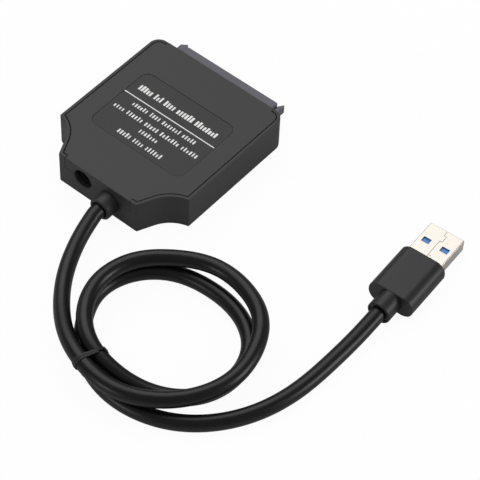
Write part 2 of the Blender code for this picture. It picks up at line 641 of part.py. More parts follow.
# Cable boot: a collar outside the wall, a waist through it and a flange inside, all round the cable
inside_y = WALL + REST_GAP
boot_profile = [
    (0, BOOT_LENGTH), (BOOT_RADIUS - BOOT_ROUNDING, BOOT_LENGTH), (BOOT_RADIUS, BOOT_LENGTH - BOOT_ROUNDING),
    (BOOT_RADIUS, REST_GAP), (BOOT_WALL_RADIUS, REST_GAP), (BOOT_WALL_RADIUS, -inside_y),
    (BOOT_FLANGE_RADIUS, -inside_y), (BOOT_FLANGE_RADIUS, -inside_y - BOOT_FLANGE_THICKNESS),
    (0, -inside_y - BOOT_FLANGE_THICKNESS)]
turned_object("cable_boot", boot_profile, BLACK_VINYL, (BOOT_X, REAR_Y, BOOT_Z), (math.radians(90), 0, 0))
inner_start = REAR_Y + inside_y + BOOT_FLANGE_THICKNESS + REST_GAP
inner_end = inner_start + INNER_CABLE_LENGTH
add_object("inner_cable_end", cylinder_mesh(
    "inner_cable_end", (BOOT_X, (inner_start + inner_end) / 2, BOOT_Z), CABLE_DIAMETER / 2, INNER_CABLE_LENGTH,
    "Y", 20), BLACK_VINYL)


# Wires, leads and the cable are curves with a round bevel
def smooth_curve(points, spacing):
    """Points at even spacing along a natural cubic through the given points."""
    knots = np.array(points, dtype=float)
    lengths = np.linalg.norm(np.diff(knots, axis=0), axis=1)
    count = len(knots)
    matrix = np.eye(count)
    right = np.zeros((count, 3))
    for i in range(1, count - 1):
        before, after = lengths[i - 1], lengths[i]
        matrix[i, i - 1:i + 2] = (before, 2 * (before + after), after)
        right[i] = 6 * ((knots[i + 1] - knots[i]) / after - (knots[i] - knots[i - 1]) / before)
    bends = np.linalg.solve(matrix, right)
    fine = []
    for i, length in enumerate(lengths):
        for step in range(16):
            ahead = length * step / 16
            behind = length - ahead
            fine.append(
                bends[i] * behind ** 3 / (6 * length) + bends[i + 1] * ahead ** 3 / (6 * length)
                + (knots[i] / length - bends[i] * length / 6) * behind
                + (knots[i + 1] / length - bends[i + 1] * length / 6) * ahead)
    fine.append(knots[-1])
    fine = np.array(fine)
    run = np.concatenate([[0.0], np.cumsum(np.linalg.norm(np.diff(fine, axis=0), axis=1))])
    marks = np.linspace(0, run[-1], max(2, round(run[-1] / spacing) + 1))
    return np.stack([np.interp(marks, run, fine[:, axis]) for axis in range(3)], axis=1)


def tube(name, points, diameter, material, resolution=2, parent=None):
    curve = bpy.data.curves.new(name, "CURVE")
    curve.dimensions = "3D"
    curve.bevel_depth = diameter / 2
    curve.bevel_resolution = resolution
    curve.use_fill_caps = True
    spline = curve.splines.new("POLY")
    spline.points.add(len(points) - 1)
    for point, place in zip(spline.points, points):
        point.co = (*place, 1.0)
    return add_object(name, curve, material, parent=parent)


lead_start = inner_end + REST_GAP
lead_rest = BOARD_TOP + REST_GAP + LEAD_DIAMETER / 2
ring = []
for index in range(len(LEAD_NAMES)):
    angle = math.radians(90 + 360 * index / len(LEAD_NAMES))
    ring.append((BOOT_X + LEAD_RING_RADIUS * math.cos(angle), BOOT_Z + LEAD_RING_RADIUS * math.sin(angle)))
ring.sort()
for index, colour_name in enumerate(LEAD_NAMES):
    ring_x, ring_z = ring[index]
    pad_x = BOOT_X + (index - (len(LEAD_NAMES) - 1) / 2) * LEAD_PITCH
    path = [
        (ring_x, lead_start, ring_z),
        (ring_x * 0.85 + pad_x * 0.15, lead_start + LEAD_LENGTH * 0.2, ring_z),
        (ring_x * 0.3 + pad_x * 0.7, lead_start + LEAD_LENGTH * 0.5, ring_z * 0.5 + lead_rest * 0.5),
        (pad_x, lead_start + LEAD_LENGTH * 0.8, lead_rest),
        (pad_x, lead_start + LEAD_LENGTH, lead_rest)]
    lead_material = new_material(f"{colour_name}_insulation", LEAD_COLOURS[colour_name], 0.5)
    tube(f"{colour_name}_lead", smooth_curve(path, LEAD_POINT_SPACING), LEAD_DIAMETER, lead_material)

# USB plug, built in its own frame: +Y out of the open end, origin at the middle of that end
plug = bpy.data.objects.new("plug_frame", None)
PARTS.objects.link(plug)
plug.location = PLUG_TIP
plug.rotation_euler = (0, 0, PLUG_TURN)

overmould_front = -SHELL_EXPOSED
overmould_back = overmould_front - OVERMOULD_LENGTH
neck_back = overmould_back - NECK_LENGTH
shell_back = overmould_front - SHELL_BURIED
overmould = add_object("plug_overmould", prism_mesh(
    "plug_overmould", rounded_rectangle(OVERMOULD_WIDTH, OVERMOULD_HEIGHT, OVERMOULD_CORNER, steps=6),
    overmould_back, overmould_front, "Y"), PLUG_VINYL, parent=plug)
neck = bmesh.new()
cylinder_into(
    neck, (0, (overmould_back + MM + neck_back) / 2, 0), NECK_RADIUS, NECK_LENGTH + MM, "Y", 28)
neck_rim = [edge for edge in neck.edges if all(vert.co.y < overmould_back for vert in edge.verts)]
bmesh.ops.bevel(neck, geom=neck_rim, offset=NECK_ROUNDING, segments=2, affect="EDGES")
join(overmould, mesh_from(neck, "neck"))
pocket_x = SHELL_WIDTH / 2 + FIT_GAP
pocket_z = SHELL_HEIGHT / 2 + FIT_GAP
cut(overmould, box_mesh(
    "shell_pocket", (-pocket_x, shell_back - FIT_GAP, -pocket_z), (pocket_x, overmould_front + MM, pocket_z)))

usb_shell = add_object("usb_shell", prism_mesh(
    "usb_shell", rounded_rectangle(SHELL_WIDTH, SHELL_HEIGHT, SHELL_CORNER, steps=3), shell_back, 0, "Y"),
    NICKEL, parent=plug)
inner_x = SHELL_WIDTH / 2 - SHELL_THICKNESS
inner_z = SHELL_HEIGHT / 2 - SHELL_THICKNESS
cut(usb_shell, box_mesh("shell_cavity", (-inner_x, shell_back - MM, -inner_z), (inner_x, MM, inner_z)))
windows = bmesh.new()
for side in (-1, 1):
    middle_x = side * WINDOW_CENTRE_X
    for level in (-1, 1):
        wall_z = level * (SHELL_HEIGHT / 2 - SHELL_THICKNESS / 2)
        box_into(
            windows,
            (middle_x - WINDOW_WIDTH / 2, -WINDOW_CENTRE_BACK - WINDOW_LENGTH / 2, wall_z - SHELL_THICKNESS),
            (middle_x + WINDOW_WIDTH / 2, -WINDOW_CENTRE_BACK + WINDOW_LENGTH / 2, wall_z + SHELL_THICKNESS))
cut(usb_shell, mesh_from(windows, "windows"))

tongue_top = inner_z - FIT_GAP
tongue_bottom = tongue_top - TONGUE_THICKNESS
tongue = add_object("usb_tongue", box_mesh(
    "usb_tongue", (-inner_x + FIT_GAP, shell_back + FIT_GAP, tongue_bottom),
    (inner_x - FIT_GAP, -TONGUE_SETBACK, tongue_top)), BLUE_PLASTIC, parent=plug)
flat_front = -TONGUE_SETBACK - USB_CONTACT_SETBACK
flat_back = flat_front - FLAT_CONTACT_LENGTH
fast_front = flat_back - USB_CONTACT_SETBACK
fast_back = fast_front - FAST_CONTACT_LENGTH
flat_places = contact_places(0, FLAT_CONTACTS, FLAT_CONTACT_PITCH)
fast_places = contact_places(0, FAST_CONTACTS, FAST_CONTACT_PITCH)
usb_contact_rows = [
    ("usb_flat_contact", flat_places, FLAT_CONTACT_WIDTH, flat_back, flat_front),
    ("usb_fast_contact", fast_places, FAST_CONTACT_WIDTH, fast_back, fast_front)]
pad_recess = USB_CONTACT_THICKNESS + FIT_GAP
grooves = bmesh.new()
for prefix, places, width, back, front in usb_contact_rows:
    for place_x in places:
        box_into(
            grooves, (place_x - width / 2 - FIT_GAP, back - FIT_GAP, tongue_bottom - MM),
            (place_x + width / 2 + FIT_GAP, front + FIT_GAP, tongue_bottom + pad_recess))
cut(tongue, mesh_from(grooves, "contact_grooves"))
for prefix, places, width, back, front in usb_contact_rows:
    for index, place_x in enumerate(places):
        name = f"{prefix}_{index + 1}"
        add_object(name, box_mesh(
            name, (place_x - width / 2, back, tongue_bottom),
            (place_x + width / 2, front, tongue_bottom + USB_CONTACT_THICKNESS)), GOLD_PLATE, parent=plug)

# USB cable, from the boot to the plug's neck
turn = Matrix.Rotation(PLUG_TURN, 3, "Z")
cable_start = Vector((BOOT_X, REAR_Y - BOOT_LENGTH - REST_GAP, BOOT_Z))
cable_end = PLUG_TIP + turn @ Vector((0, neck_back - REST_GAP, 0))
after_boot = cable_start - Vector((0, CABLE_STRAIGHT, 0))
before_neck = cable_end + turn @ Vector((0, -CABLE_STRAIGHT, 0))
route = [tuple(after_boot)]
route += [(x * MM, y * MM, z * MM) for x, y, z in CABLE_ROUTE]
route += [tuple(before_neck)]
cable_points = [tuple(cable_start), *smooth_curve(route, CABLE_POINT_SPACING), tuple(cable_end)]
tube("usb_cable", cable_points, CABLE_DIAMETER, BLACK_VINYL, resolution=3)

# Twist tie: a flat band drawn tight round the strands that cross its plane
along = Vector((math.cos(TIE_HEADING), math.sin(TIE_HEADING), 0))
across = Vector((-along.y, along.x, 0))
strands = []
for first, second in zip(cable_points, cable_points[1:]):
    ahead = [(Vector(point) - TIE_CENTRE).dot(along) for point in (first, second)]
    if ahead[0] * ahead[1] < 0:
        share = ahead[0] / (ahead[0] - ahead[1])
        crossing = Vector(first) * (1 - share) + Vector(second) * share
        offset = (crossing - TIE_CENTRE).dot(across)
        if abs(offset) < 3 * CABLE_DIAMETER:
            strands.append((offset, crossing.z))


def band_outline(radius, steps=48):
    """The line that a band of this radius draws round all the strands."""
    points = []
    for step in range(steps):
        angle = 2 * math.pi * step / steps
        facing = (math.cos(angle), math.sin(angle))
        u, v = max(strands, key=lambda centre: centre[0] * facing[0] + centre[1] * facing[1])
        points.append((u + radius * facing[0], v + radius * facing[1]))
    return points


def ring_mesh(name, outer, inner, half_width):
    """A closed band between two outlines with equal point counts."""
    bm = bmesh.new()
    rows = []
    corners = ((outer, -half_width), (outer, half_width), (inner, half_width), (inner, -half_width))
    for outline, height in corners:
        rows.append([bm.verts.new((u, v, height)) for u, v in outline])
    count = len(outer)
    for row in range(4):
        for index in range(count):
            after = (index + 1) % count
            below, above = rows[row], rows[(row + 1) % 4]
            bm.faces.new((below[index], below[after], above[after], above[index]))
    return mesh_from(bm, name)


band_inner = CABLE_DIAMETER / 2 + TIE_GAP
inner_line = band_outline(band_inner)
outer_line = band_outline(band_inner + TIE_THICKNESS)
tie = add_object("twist_tie", ring_mesh("twist_tie", outer_line, inner_line, TIE_WIDTH / 2), BLACK_VINYL)
tie.matrix_world = Matrix((
    (across.x, 0, along.x, TIE_CENTRE.x),
    (across.y, 0, along.y, TIE_CENTRE.y),
    (0, 1, 0, 0),
    (0, 0, 0, 1)))
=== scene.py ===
# %% [markdown]
# A drive adapter: a flat charcoal box with a drive connector at its front, and at its rear a power socket
# and a black cable that makes two tied loops and ends in a metal plug. Every size here is in the frame of
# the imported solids, in metres: the origin is under the middle of the box, +Y runs towards the drive
# connector, +X towards the loops and +Z up. This first cell loads those solids, which stay where they are.

# %% Load the solids
import math

import bmesh
import bpy
import numpy as np
from mathutils import Matrix, Vector
from mathutils.geometry import tessellate_polygon


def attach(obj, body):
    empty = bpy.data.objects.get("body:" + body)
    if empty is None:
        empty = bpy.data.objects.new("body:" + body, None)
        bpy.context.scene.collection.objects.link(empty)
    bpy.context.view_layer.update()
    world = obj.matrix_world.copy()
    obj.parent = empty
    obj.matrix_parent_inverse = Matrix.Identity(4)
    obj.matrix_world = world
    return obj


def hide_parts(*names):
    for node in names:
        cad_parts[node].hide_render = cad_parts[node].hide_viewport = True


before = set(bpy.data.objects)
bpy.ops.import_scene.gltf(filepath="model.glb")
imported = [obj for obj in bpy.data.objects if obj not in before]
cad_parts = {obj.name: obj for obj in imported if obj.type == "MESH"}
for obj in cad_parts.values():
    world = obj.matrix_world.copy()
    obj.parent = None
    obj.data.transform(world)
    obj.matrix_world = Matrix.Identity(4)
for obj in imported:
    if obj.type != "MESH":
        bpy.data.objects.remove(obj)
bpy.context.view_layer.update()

# %% [markdown]
# The camera stands where the photographer stood. It was found from corners and straight edges of the box
# and the plug, with the plug's standard size for the scale: a place, a yaw, a pitch and a small roll.
# A long lens from two thirds of a metre away gives the almost parallel lines of a product picture.

# %% Camera
MM = 0.001
YAW = math.radians(37.88)
PITCH = math.radians(50.73)
ROLL = math.radians(2.625)
CAMERA_PLACE = Vector((296.84, -338.72, 508.60)) * MM
FOCAL_LENGTH = 161.95
SENSOR_WIDTH = 36.0

forward = Vector((-math.sin(YAW) * math.cos(PITCH), math.cos(YAW) * math.cos(PITCH), -math.sin(PITCH)))
level_right = Vector((math.cos(YAW), math.sin(YAW), 0))
level_up = level_right.cross(forward)
camera_right = math.cos(ROLL) * level_right + math.sin(ROLL) * level_up
camera_up = math.cos(ROLL) * level_up - math.sin(ROLL) * level_right

lens = bpy.data.cameras.new("camera")
lens.lens = FOCAL_LENGTH
lens.sensor_width = SENSOR_WIDTH
camera = bpy.data.objects.new("camera", lens)
bpy.context.scene.collection.objects.link(camera)
turned = Matrix((camera_right, camera_up, -forward)).transposed().to_4x4()
camera.matrix_world = Matrix.Translation(CAMERA_PLACE) @ turned
bpy.context.scene.camera = camera
print("camera looks down", round(math.degrees(PITCH), 1), "degrees")

# %% [markdown]
# Every new piece is built from closed loops of points. A loop is an array of points, a shape is a stack
# of such loops, and the skin between two loops is a band of four-sided faces whose corners are worked out
# for the whole band at once. Flat ends are filled, also round holes. The class below only collects them.

# %% Loops, bands and filled ends
class Skin:
    """Points and faces of one mesh, gathered from stacks of closed loops."""

    def __init__(self):
        self.points = []
        self.faces = []
        self.count = 0

    def stack(self, rows):
        """Adds rows of closed loops, shape (rows, points, 3), and the band between each row and the next."""
        rows = np.asarray(rows, float)
        height, around = rows.shape[:2]
        index = self.count + np.arange(height * around).reshape(height, around)
        after = np.roll(index, -1, axis=1)
        band = np.stack([index[:-1], after[:-1], after[1:], index[1:]], axis=-1)
        self.points.append(rows.reshape(-1, 3))
        self.faces += band.reshape(-1, 4).tolist()
        self.count += height * around
        return index

    def fill(self, rim, *holes):
        """Closes a flat loop, leaving out the holes inside it."""
        if not holes:
            self.faces.append(rim.tolist())
            return
        places = np.concatenate(self.points)
        order = np.concatenate([rim, *holes])
        loops = [[Vector(places[i]) for i in loop] for loop in (rim, *holes)]
        self.faces += [order[list(corner)].tolist() for corner in tessellate_polygon(loops)]

    def mesh(self, name):
        made = bpy.data.meshes.new(name)
        made.from_pydata(np.concatenate(self.points), [], self.faces)
        tidy = bmesh.new()
        tidy.from_mesh(made)
        bmesh.ops.remove_doubles(tidy, verts=tidy.verts, dist=1e-7)
        bmesh.ops.recalc_face_normals(tidy, faces=tidy.faces)
        tidy.to_mesh(made)
        tidy.free()
        return made


def closed(rows):
    """The skin of one stack of loops with both its ends filled."""
    skin = Skin()
    index = skin.stack(rows)
    skin.fill(index[0])
    skin.fill(index[-1])
    return skin


def unit(rows):
    """Each row divided by its own length."""
    return rows / np.linalg.norm(rows, axis=1, keepdims=True)


def arc(centre, radius, start, end, steps):
    """Points of a circle: the centre plus radius times the cosine and sine of angles given in degrees."""
    turn = np.radians(np.linspace(start, end, steps + 1))
    return np.column_stack([centre[0] + radius * np.cos(turn), centre[1] + radius * np.sin(turn)])


def lifted(outline, height, axis="Z"):
    """A flat outline placed at a height along one axis, as points in space."""
    outline = np.asarray(outline, float)
    level = np.full(len(outline), height)
    if axis == "Z":
        return np.column_stack([outline, level])
    return np.column_stack([outline[:, 0], level, outline[:, 1]])


def mitre(before, after):
    """How far a corner moves when both its sides move out by one: the sum of the sides' normals divided by
    one plus their dot product, which keeps every side parallel to itself."""
    return (before + after) / (1 + np.sum(before * after, axis=1, keepdims=True))


def grown(outline, distance):
    """A closed outline whose sides are all moved out by distance."""
    outline = np.asarray(outline, float)
    side = unit(np.roll(outline, -1, axis=0) - outline)
    x, y = outline.T
    turning = np.sign(np.sum(x * np.roll(y, -1) - np.roll(x, -1) * y))
    normal = turning * np.column_stack([side[:, 1], -side[:, 0]])
    return outline + distance * mitre(np.roll(normal, 1, axis=0), normal)


QUARTER_TURN = np.radians(np.linspace(0, 90, 5))


def edge_rows(outline, level, grow, rise, axis="Z", turns=QUARTER_TURN):
    """Loops round a rounded edge that ends at a level. At each angle the outline is grown by grow times one
    minus the cosine, and it lies at the level plus rise times one minus the sine."""
    return [
        lifted(grown(outline, grow * (1 - math.cos(a))), level + rise * (1 - math.sin(a)), axis)
        for a in turns]


def rounded_rectangle(width, height, radius, centre=(0, 0), steps=8):
    """Four quarter circles, one at each corner, joined by the straight sides."""
    across = width / 2 - radius
    up = height / 2 - radius
    corners = [(across, up), (-across, up), (-across, -up), (across, -up)]
    quarters = [
        arc((centre[0] + x, centre[1] + y), radius, 90 * i, 90 * i + 90, steps)
        for i, (x, y) in enumerate(corners)]
    return np.concatenate(quarters)


def block(outline, low, high, edge=0.0, axis="Z", steps=3):
    """A closed prism whose two ends have rounded edges: the outline shrinks by edge times one minus the
    sine of an angle, while it moves along the axis by edge times one minus the cosine."""
    if edge > 0:
        turn = np.radians(np.linspace(0, 90, steps + 1))
        shrink = edge * (1 - np.sin(turn))
        travel = edge * (1 - np.cos(turn))
        rows = [lifted(grown(outline, -s), low + t, axis) for s, t in zip(shrink, travel)]
        rows += [lifted(grown(outline, -s), high - t, axis) for s, t in zip(shrink[::-1], travel[::-1])]
    else:
        rows = [lifted(outline, low, axis), lifted(outline, high, axis)]
    return closed(rows)


def rectangle(low, high):
    return np.array([(low[0], low[1]), (high[0], low[1]), (high[0], high[1]), (low[0], high[1])], float)


def turned_about_y(profile, centre_x, centre_z, sides=64):
    """Loops of a turned shape: each (radius, y) of the profile becomes a circle round a line along Y."""
    turn = np.linspace(0, 2 * np.pi, sides, endpoint=False)
    radius, along = np.asarray(profile, float).T
    x = centre_x + radius[:, None] * np.cos(turn)
    z = centre_z + radius[:, None] * np.sin(turn)
    y = np.broadcast_to(along[:, None], x.shape)
    return np.stack([x, y, z], axis=-1)


# %% [markdown]
# A moulded piece has openings. They are cut with a Boolean and the result replaces the mesh, so that no
# cutter is left in the scene. Faces are shaded smooth except across edges sharper than 35 degrees, and a
# Weighted Normal modifier keeps the big flat faces flat beside their thin rounded edges.

# %% Cutting, joining and shading
SHARP_ANGLE = math.radians(35)


def new_object(name, mesh):
    made = bpy.data.objects.new(name, mesh)
    bpy.context.scene.collection.objects.link(made)
    return made


def build(name, skin):
    return new_object(name, skin.mesh(name))


def carve(piece, shapes, operation="DIFFERENCE"):
    """Cuts the shapes out of a piece, or joins them to it, and keeps only the result."""
    tools = [build(f"tool_{i}", shape) for i, shape in enumerate(shapes)]
    for tool in tools:
        step = piece.modifiers.new("carve", "BOOLEAN")
        step.object = tool
        step.operation = operation
        step.solver = "EXACT"
    bpy.context.view_layer.update()
    view = bpy.context.evaluated_depsgraph_get()
    result = bpy.data.meshes.new_from_object(piece.evaluated_get(view))
    piece.modifiers.clear()
    piece.data = result
    for tool in tools:
        bpy.data.objects.remove(tool)


def shade(piece, weighted=True):
    piece.data.shade_smooth()
    piece.data.set_sharp_from_angle(angle=SHARP_ANGLE)
    if weighted:
        even = piece.modifiers.new("even_normals", "WEIGHTED_NORMAL")
        even.keep_sharp = True
        even.weight = 90


def dress(piece, material, slot, *stands_for):
    """Gives a new piece its finish and its place under the root, and hides the solids that it stands for.
    The slot is not used.
    """
    piece.data.materials.clear()
    piece.data.materials.append(material)
    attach(piece, "root")
    if stands_for:
        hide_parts(*stands_for)


# %% [markdown]
# A finish is a small network of nodes. Writing each sum as a separate node call is hard to read, so this
# class wraps a socket: adding or multiplying two of them adds a Math node, and every other node comes from
# one method, which takes its type, its settings and what goes into its sockets.

# %% Shader sums
class Wire:
    """An output socket of a node tree that can be used in sums."""

    def __init__(self, tree, socket=None):
        self.tree = tree
        self.socket = socket

    def node(self, kind, settings=None, sockets=None, output=0):
        made = self.tree.nodes.new(kind)
        for key, value in (settings or {}).items():
            setattr(made, key, value)
        for key, value in (sockets or {}).items():
            if isinstance(value, Wire):
                self.tree.links.new(value.socket, made.inputs[key])
            else:
                made.inputs[key].default_value = value
        return Wire(self.tree, made.outputs[output])

    def maths(self, operation, first, second):
        return self.node("ShaderNodeMath", {"operation": operation}, {0: first, 1: second})

    def __add__(self, other):
        return self.maths("ADD", self, other)

    def __radd__(self, other):
        return self.maths("ADD", other, self)

    def __mul__(self, other):
        return self.maths("MULTIPLY", self, other)

    def blend(self, first, second):
        """One colour where this value is 0 and the other where it is 1."""
        return self.node(
            "ShaderNodeMix", {"data_type": "RGBA"}, {0: self, 6: (*first, 1.0), 7: (*second, 1.0)}, 2)

    def noise(self, where, scale, detail=2.0, roughness=0.5):
        return self.node("ShaderNodeTexNoise", None, {
            "Vector": where, "Scale": scale, "Detail": detail, "Roughness": roughness})

    def stretched(self, where, factors):
        """The same coordinates, scaled on each axis, so that a noise on them runs in streaks."""
        return self.node(
            "ShaderNodeVectorMath", {"operation": "MULTIPLY"}, {0: where, 1: factors})


def finish(name, metallic=0.0):
    """A new material: its tree as a Wire, its object coordinates, and a function that sets its shader."""
    material = bpy.data.materials.new(name)
    material.use_nodes = True
    tree = material.node_tree
    shader = tree.nodes["Principled BSDF"]
    shader.inputs["Metallic"].default_value = metallic
    start = Wire(tree)
    where = start.node("ShaderNodeTexCoord", output="Object")

    def set_shader(colour, roughness, height, depth):
        normal = start.node("ShaderNodeBump", None, {"Height": height, "Distance": depth, "Strength": 1.0})
        for key, value in (("Base Color", colour), ("Roughness", roughness), ("Normal", normal)):
            tree.links.new(value.socket, shader.inputs[key])
        return material

    return start, where, set_shader


# %% [markdown]
# The box is moulded in charcoal ABS from a tool with a fine spark-eroded texture. Up close that is a dense
# grain about a fifth of a millimetre across, which scatters the light so that the surface looks matt, with
# slow, faint changes of tone where the plastic filled the tool. The grain is a bump from a fine noise, and
# two slower noises move the colour and the roughness a little.

# %% Moulded plastics
def moulded_plastic(name, colour, roughness, grain=0.2 * MM, depth=0.012 * MM, tone=0.10):
    start, where, set_shader = finish(name)
    fine = start.noise(where, 1 / grain, 3.0, 0.6)
    slow = start.noise(where, 60.0, 3.0, 0.5)
    patch = start.noise(where, 420.0, 2.0, 0.5)
    low = tuple(c * (1 - tone) for c in colour)
    high = tuple(c * (1 + tone) for c in colour)
    shade_of = (slow * 0.6 + patch * 0.25 + fine * 0.15).blend(low, high)
    return set_shader(shade_of, roughness - 0.05 + slow * 0.05 + fine * 0.05, fine, depth)


charcoal = moulded_plastic("charcoal_abs_skin", (0.034, 0.033, 0.0345), 0.50)
connector_grey = moulded_plastic(
    "connector_plastic_skin", (0.115, 0.113, 0.140), 0.46, 0.14 * MM, 0.008 * MM, 0.08)
label_black = moulded_plastic("label_film_skin", (0.020, 0.0194, 0.0202), 0.46, 0.1 * MM, 0.003 * MM, 0.05)
plug_black = moulded_plastic("plug_vinyl_skin", (0.018, 0.0175, 0.019), 0.40, 0.16 * MM, 0.008 * MM, 0.08)
boot_black = moulded_plastic("boot_vinyl_skin", (0.027, 0.0262, 0.0278), 0.46, 0.16 * MM, 0.008 * MM, 0.08)
resin_black = moulded_plastic("resin_skin", (0.012, 0.012, 0.013), 0.5, 0.1 * MM, 0.006 * MM, 0.1)
ferrite_black = moulded_plastic("ferrite_skin", (0.03, 0.03, 0.032), 0.7, 0.1 * MM, 0.01 * MM, 0.2)
socket_blue = moulded_plastic("blue_plastic_skin", (0.085, 0.27, 0.66), 0.35, 0.2 * MM, 0.004 * MM, 0.06)
print("materials so far", len(bpy.data.materials))

# %% [markdown]
# The cable's jacket is extruded, so its marks run along it: faint streaks a few tenths of a millimetre
# wide and very long. They need coordinates that follow the cable, so the cable carries an attribute with
# the place round the jacket and the distance along it, and the noise is squeezed along that distance.

# %% Extruded jacket
def extruded_jacket(name, colour, roughness):
    start, _, set_shader = finish(name)
    skin = start.node("ShaderNodeAttribute", {"attribute_name": "along_jacket"}, output="Vector")
    streaks = start.noise(start.stretched(skin, (1.0, 1.0, 0.02)), 2600.0, 2.0, 0.5)
    fine = start.noise(skin, 7000.0, 2.0, 0.6)
    slow = start.noise(skin, 90.0, 2.0, 0.5)
    low = tuple(c * 0.85 for c in colour)
    high = tuple(c * 1.15 for c in colour)
    return set_shader(
        (slow * 0.7 + streaks * 0.3).blend(low, high), roughness - 0.04 + slow * 0.06 + fine * 0.03,
        streaks * 0.6 + fine * 0.4, 0.006 * MM)


jacket_black = extruded_jacket("cable_jacket_skin", (0.0040, 0.0038, 0.0043), 0.34)

# %% [markdown]
# The plug's shell and the contacts are plated metal. Rolled sheet keeps very fine lines from the rolls, all
# in one direction, which blur its reflections along one axis. A noise that is stretched along the plug
# gives those lines, both as a bump and as a change in roughness.

# %% Metals
def plated_metal(name, colour, roughness, grain=(1.0, 0.03, 1.0), lines=5200.0, depth=0.0002 * MM):
    start, where, set_shader = finish(name, metallic=1.0)
    rolled = start.noise(start.stretched(where, grain), lines, 2.0, 0.6)
    slow = start.noise(where, 260.0, 2.0, 0.5)
    low = tuple(c * 0.94 for c in colour)
    return set_shader(
        (slow * 0.5 + rolled * 0.5).blend(low, colour),
        roughness - 0.03 + slow * 0.05 + rolled * 0.04, rolled, depth)


bright_nickel = plated_metal("nickel_skin", (0.78, 0.73, 0.665), 0.24)
gold_flash = plated_metal("gold_skin", (0.86, 0.62, 0.27), 0.28)
drawn_can = plated_metal("can_skin", (0.66, 0.66, 0.66), 0.34)
print("materials so far", len(bpy.data.materials))

# %% [markdown]
# Inside the closed box lie the circuit board, its parts and the ends of the cable's wires. Only a little of
# the board can be seen, from the front beside a guide post, but all are part of the object, so they get
# plain true finishes: solder mask with the faint weave of the glass cloth under it, and coloured insulation.

# %% Board and wires
def board_laminate(name):
    start, where, set_shader = finish(name)
    weave, cross = [
        start.node("ShaderNodeTexWave", {"wave_type": "BANDS", "bands_direction": direction}, {
            "Vector": where, "Scale": 700.0, "Distortion": 1.0})
        for direction in "XY"]
    cloth = weave * 0.5 + cross * 0.5
    return set_shader(
        cloth.blend((0.008, 0.085, 0.03), (0.014, 0.12, 0.045)), 0.32 + cloth * 0.06, cloth, 0.004 * MM)


mask_green = board_laminate("board_skin")
wire_colours = {
    "red": (0.50, 0.02, 0.02), "white": (0.70, 0.70, 0.68), "green": (0.02, 0.28, 0.06),
    "blue": (0.02, 0.09, 0.45), "black": (0.02, 0.02, 0.02)}
wire_finishes = {
    colour: moulded_plastic(f"{colour}_insulation_skin", value, 0.45, 0.15 * MM, 0.004 * MM, 0.06)
    for colour, value in wire_colours.items()}
print("wire colours", len(wire_finishes))

# %% [markdown]
# The white print on the label is ink: matt, a little uneven where it soaked in, and whiter than anything
# round it. It stays below full white so that it keeps its tone under a strong light.

# %% Print
def white_ink(name):
    start, where, set_shader = finish(name)
    cover = start.noise(where, 2600.0, 3.0, 0.6)
    return set_shader(
        cover.blend((0.78, 0.78, 0.77), (0.88, 0.88, 0.87)), 0.6 + cover * 0.1, cover, 0.004 * MM)


ink_white = white_ink("print_skin")

# %% [markdown]
# The cable leaves the boot, makes two loops that lie on each other and ends at the plug. Its points were
# chosen along its middle line, and a natural cubic through them gives the smooth curve: at every
# point the bend on both sides agrees, which is how a stiff cable lies. A list of straight runs and arcs
# would look like bent wire. Both ends run straight for a little way out of the boot and the plug.

# %% The cable's middle line
BOX_LENGTH = 58.0 * MM
FRONT_Y = BOX_LENGTH / 2
REAR_Y = -BOX_LENGTH / 2
CABLE_DIAMETER = 5.1 * MM
BOOT_CENTRE = (5.0 * MM, 6.3 * MM)
BOOT_LENGTH = 4.8 * MM
PLUG_TIP = np.array([89.82, 29.54, 4.0]) * MM
PLUG_TURN = math.radians(3.4)
SHELL_EXPOSED = 12.9 * MM
OVERMOULD_LENGTH = 18.1 * MM
NECK_LENGTH = 6.3 * MM
END_GAP = 0.3 * MM
CABLE_STRAIGHT = 1.5 * MM

plug_along = np.array([-math.sin(PLUG_TURN), math.cos(PLUG_TURN), 0])
plug_depth = SHELL_EXPOSED + OVERMOULD_LENGTH + NECK_LENGTH + END_GAP
cable_start = np.array([BOOT_CENTRE[0], REAR_Y - BOOT_LENGTH - END_GAP, BOOT_CENTRE[1]])
cable_end = PLUG_TIP - plug_along * plug_depth

route = np.array([
    (6.6, -42.4, 5.5), (12.6, -56.8, 4.2), (20.0, -66.6, 4.9), (29.5, -74.8, 6.9), (40.5, -80.0, 8.5),
    (52.3, -81.2, 8.3), (63.6, -76.9, 8.1), (72.2, -68.2, 8.0), (76.6, -56.8, 8.0), (75.2, -44.8, 8.0),
    (69.0, -34.4, 8.0), (58.2, -28.8, 8.0), (46.0, -28.4, 7.9), (35.2, -33.8, 7.9), (26.8, -42.6, 7.9),
    (24.2, -54.4, 8.0), (28.8, -66.0, 8.3), (38.5, -73.8, 8.4), (50.0, -75.2, 5.9), (61.4, -71.8, 3.2),
    (71.0, -64.0, 2.6), (74.4, -52.4, 2.6), (70.4, -40.8, 2.6), (60.4, -34.0, 2.6), (48.4, -32.4, 2.6),
    (36.4, -35.0, 2.6), (27.4, -42.8, 2.6), (24.0, -54.4, 2.6), (28.3, -66.0, 2.9), (37.1, -75.5, 3.5),
    (47.8, -79.9, 3.0), (59.8, -79.8, 2.6), (71.2, -75.6, 2.6), (80.6, -67.6, 2.6), (87.0, -57.4, 2.6),
    (90.6, -45.6, 2.6), (92.0, -29.0, 2.7), (92.2, -17.0, 3.2)]) * MM


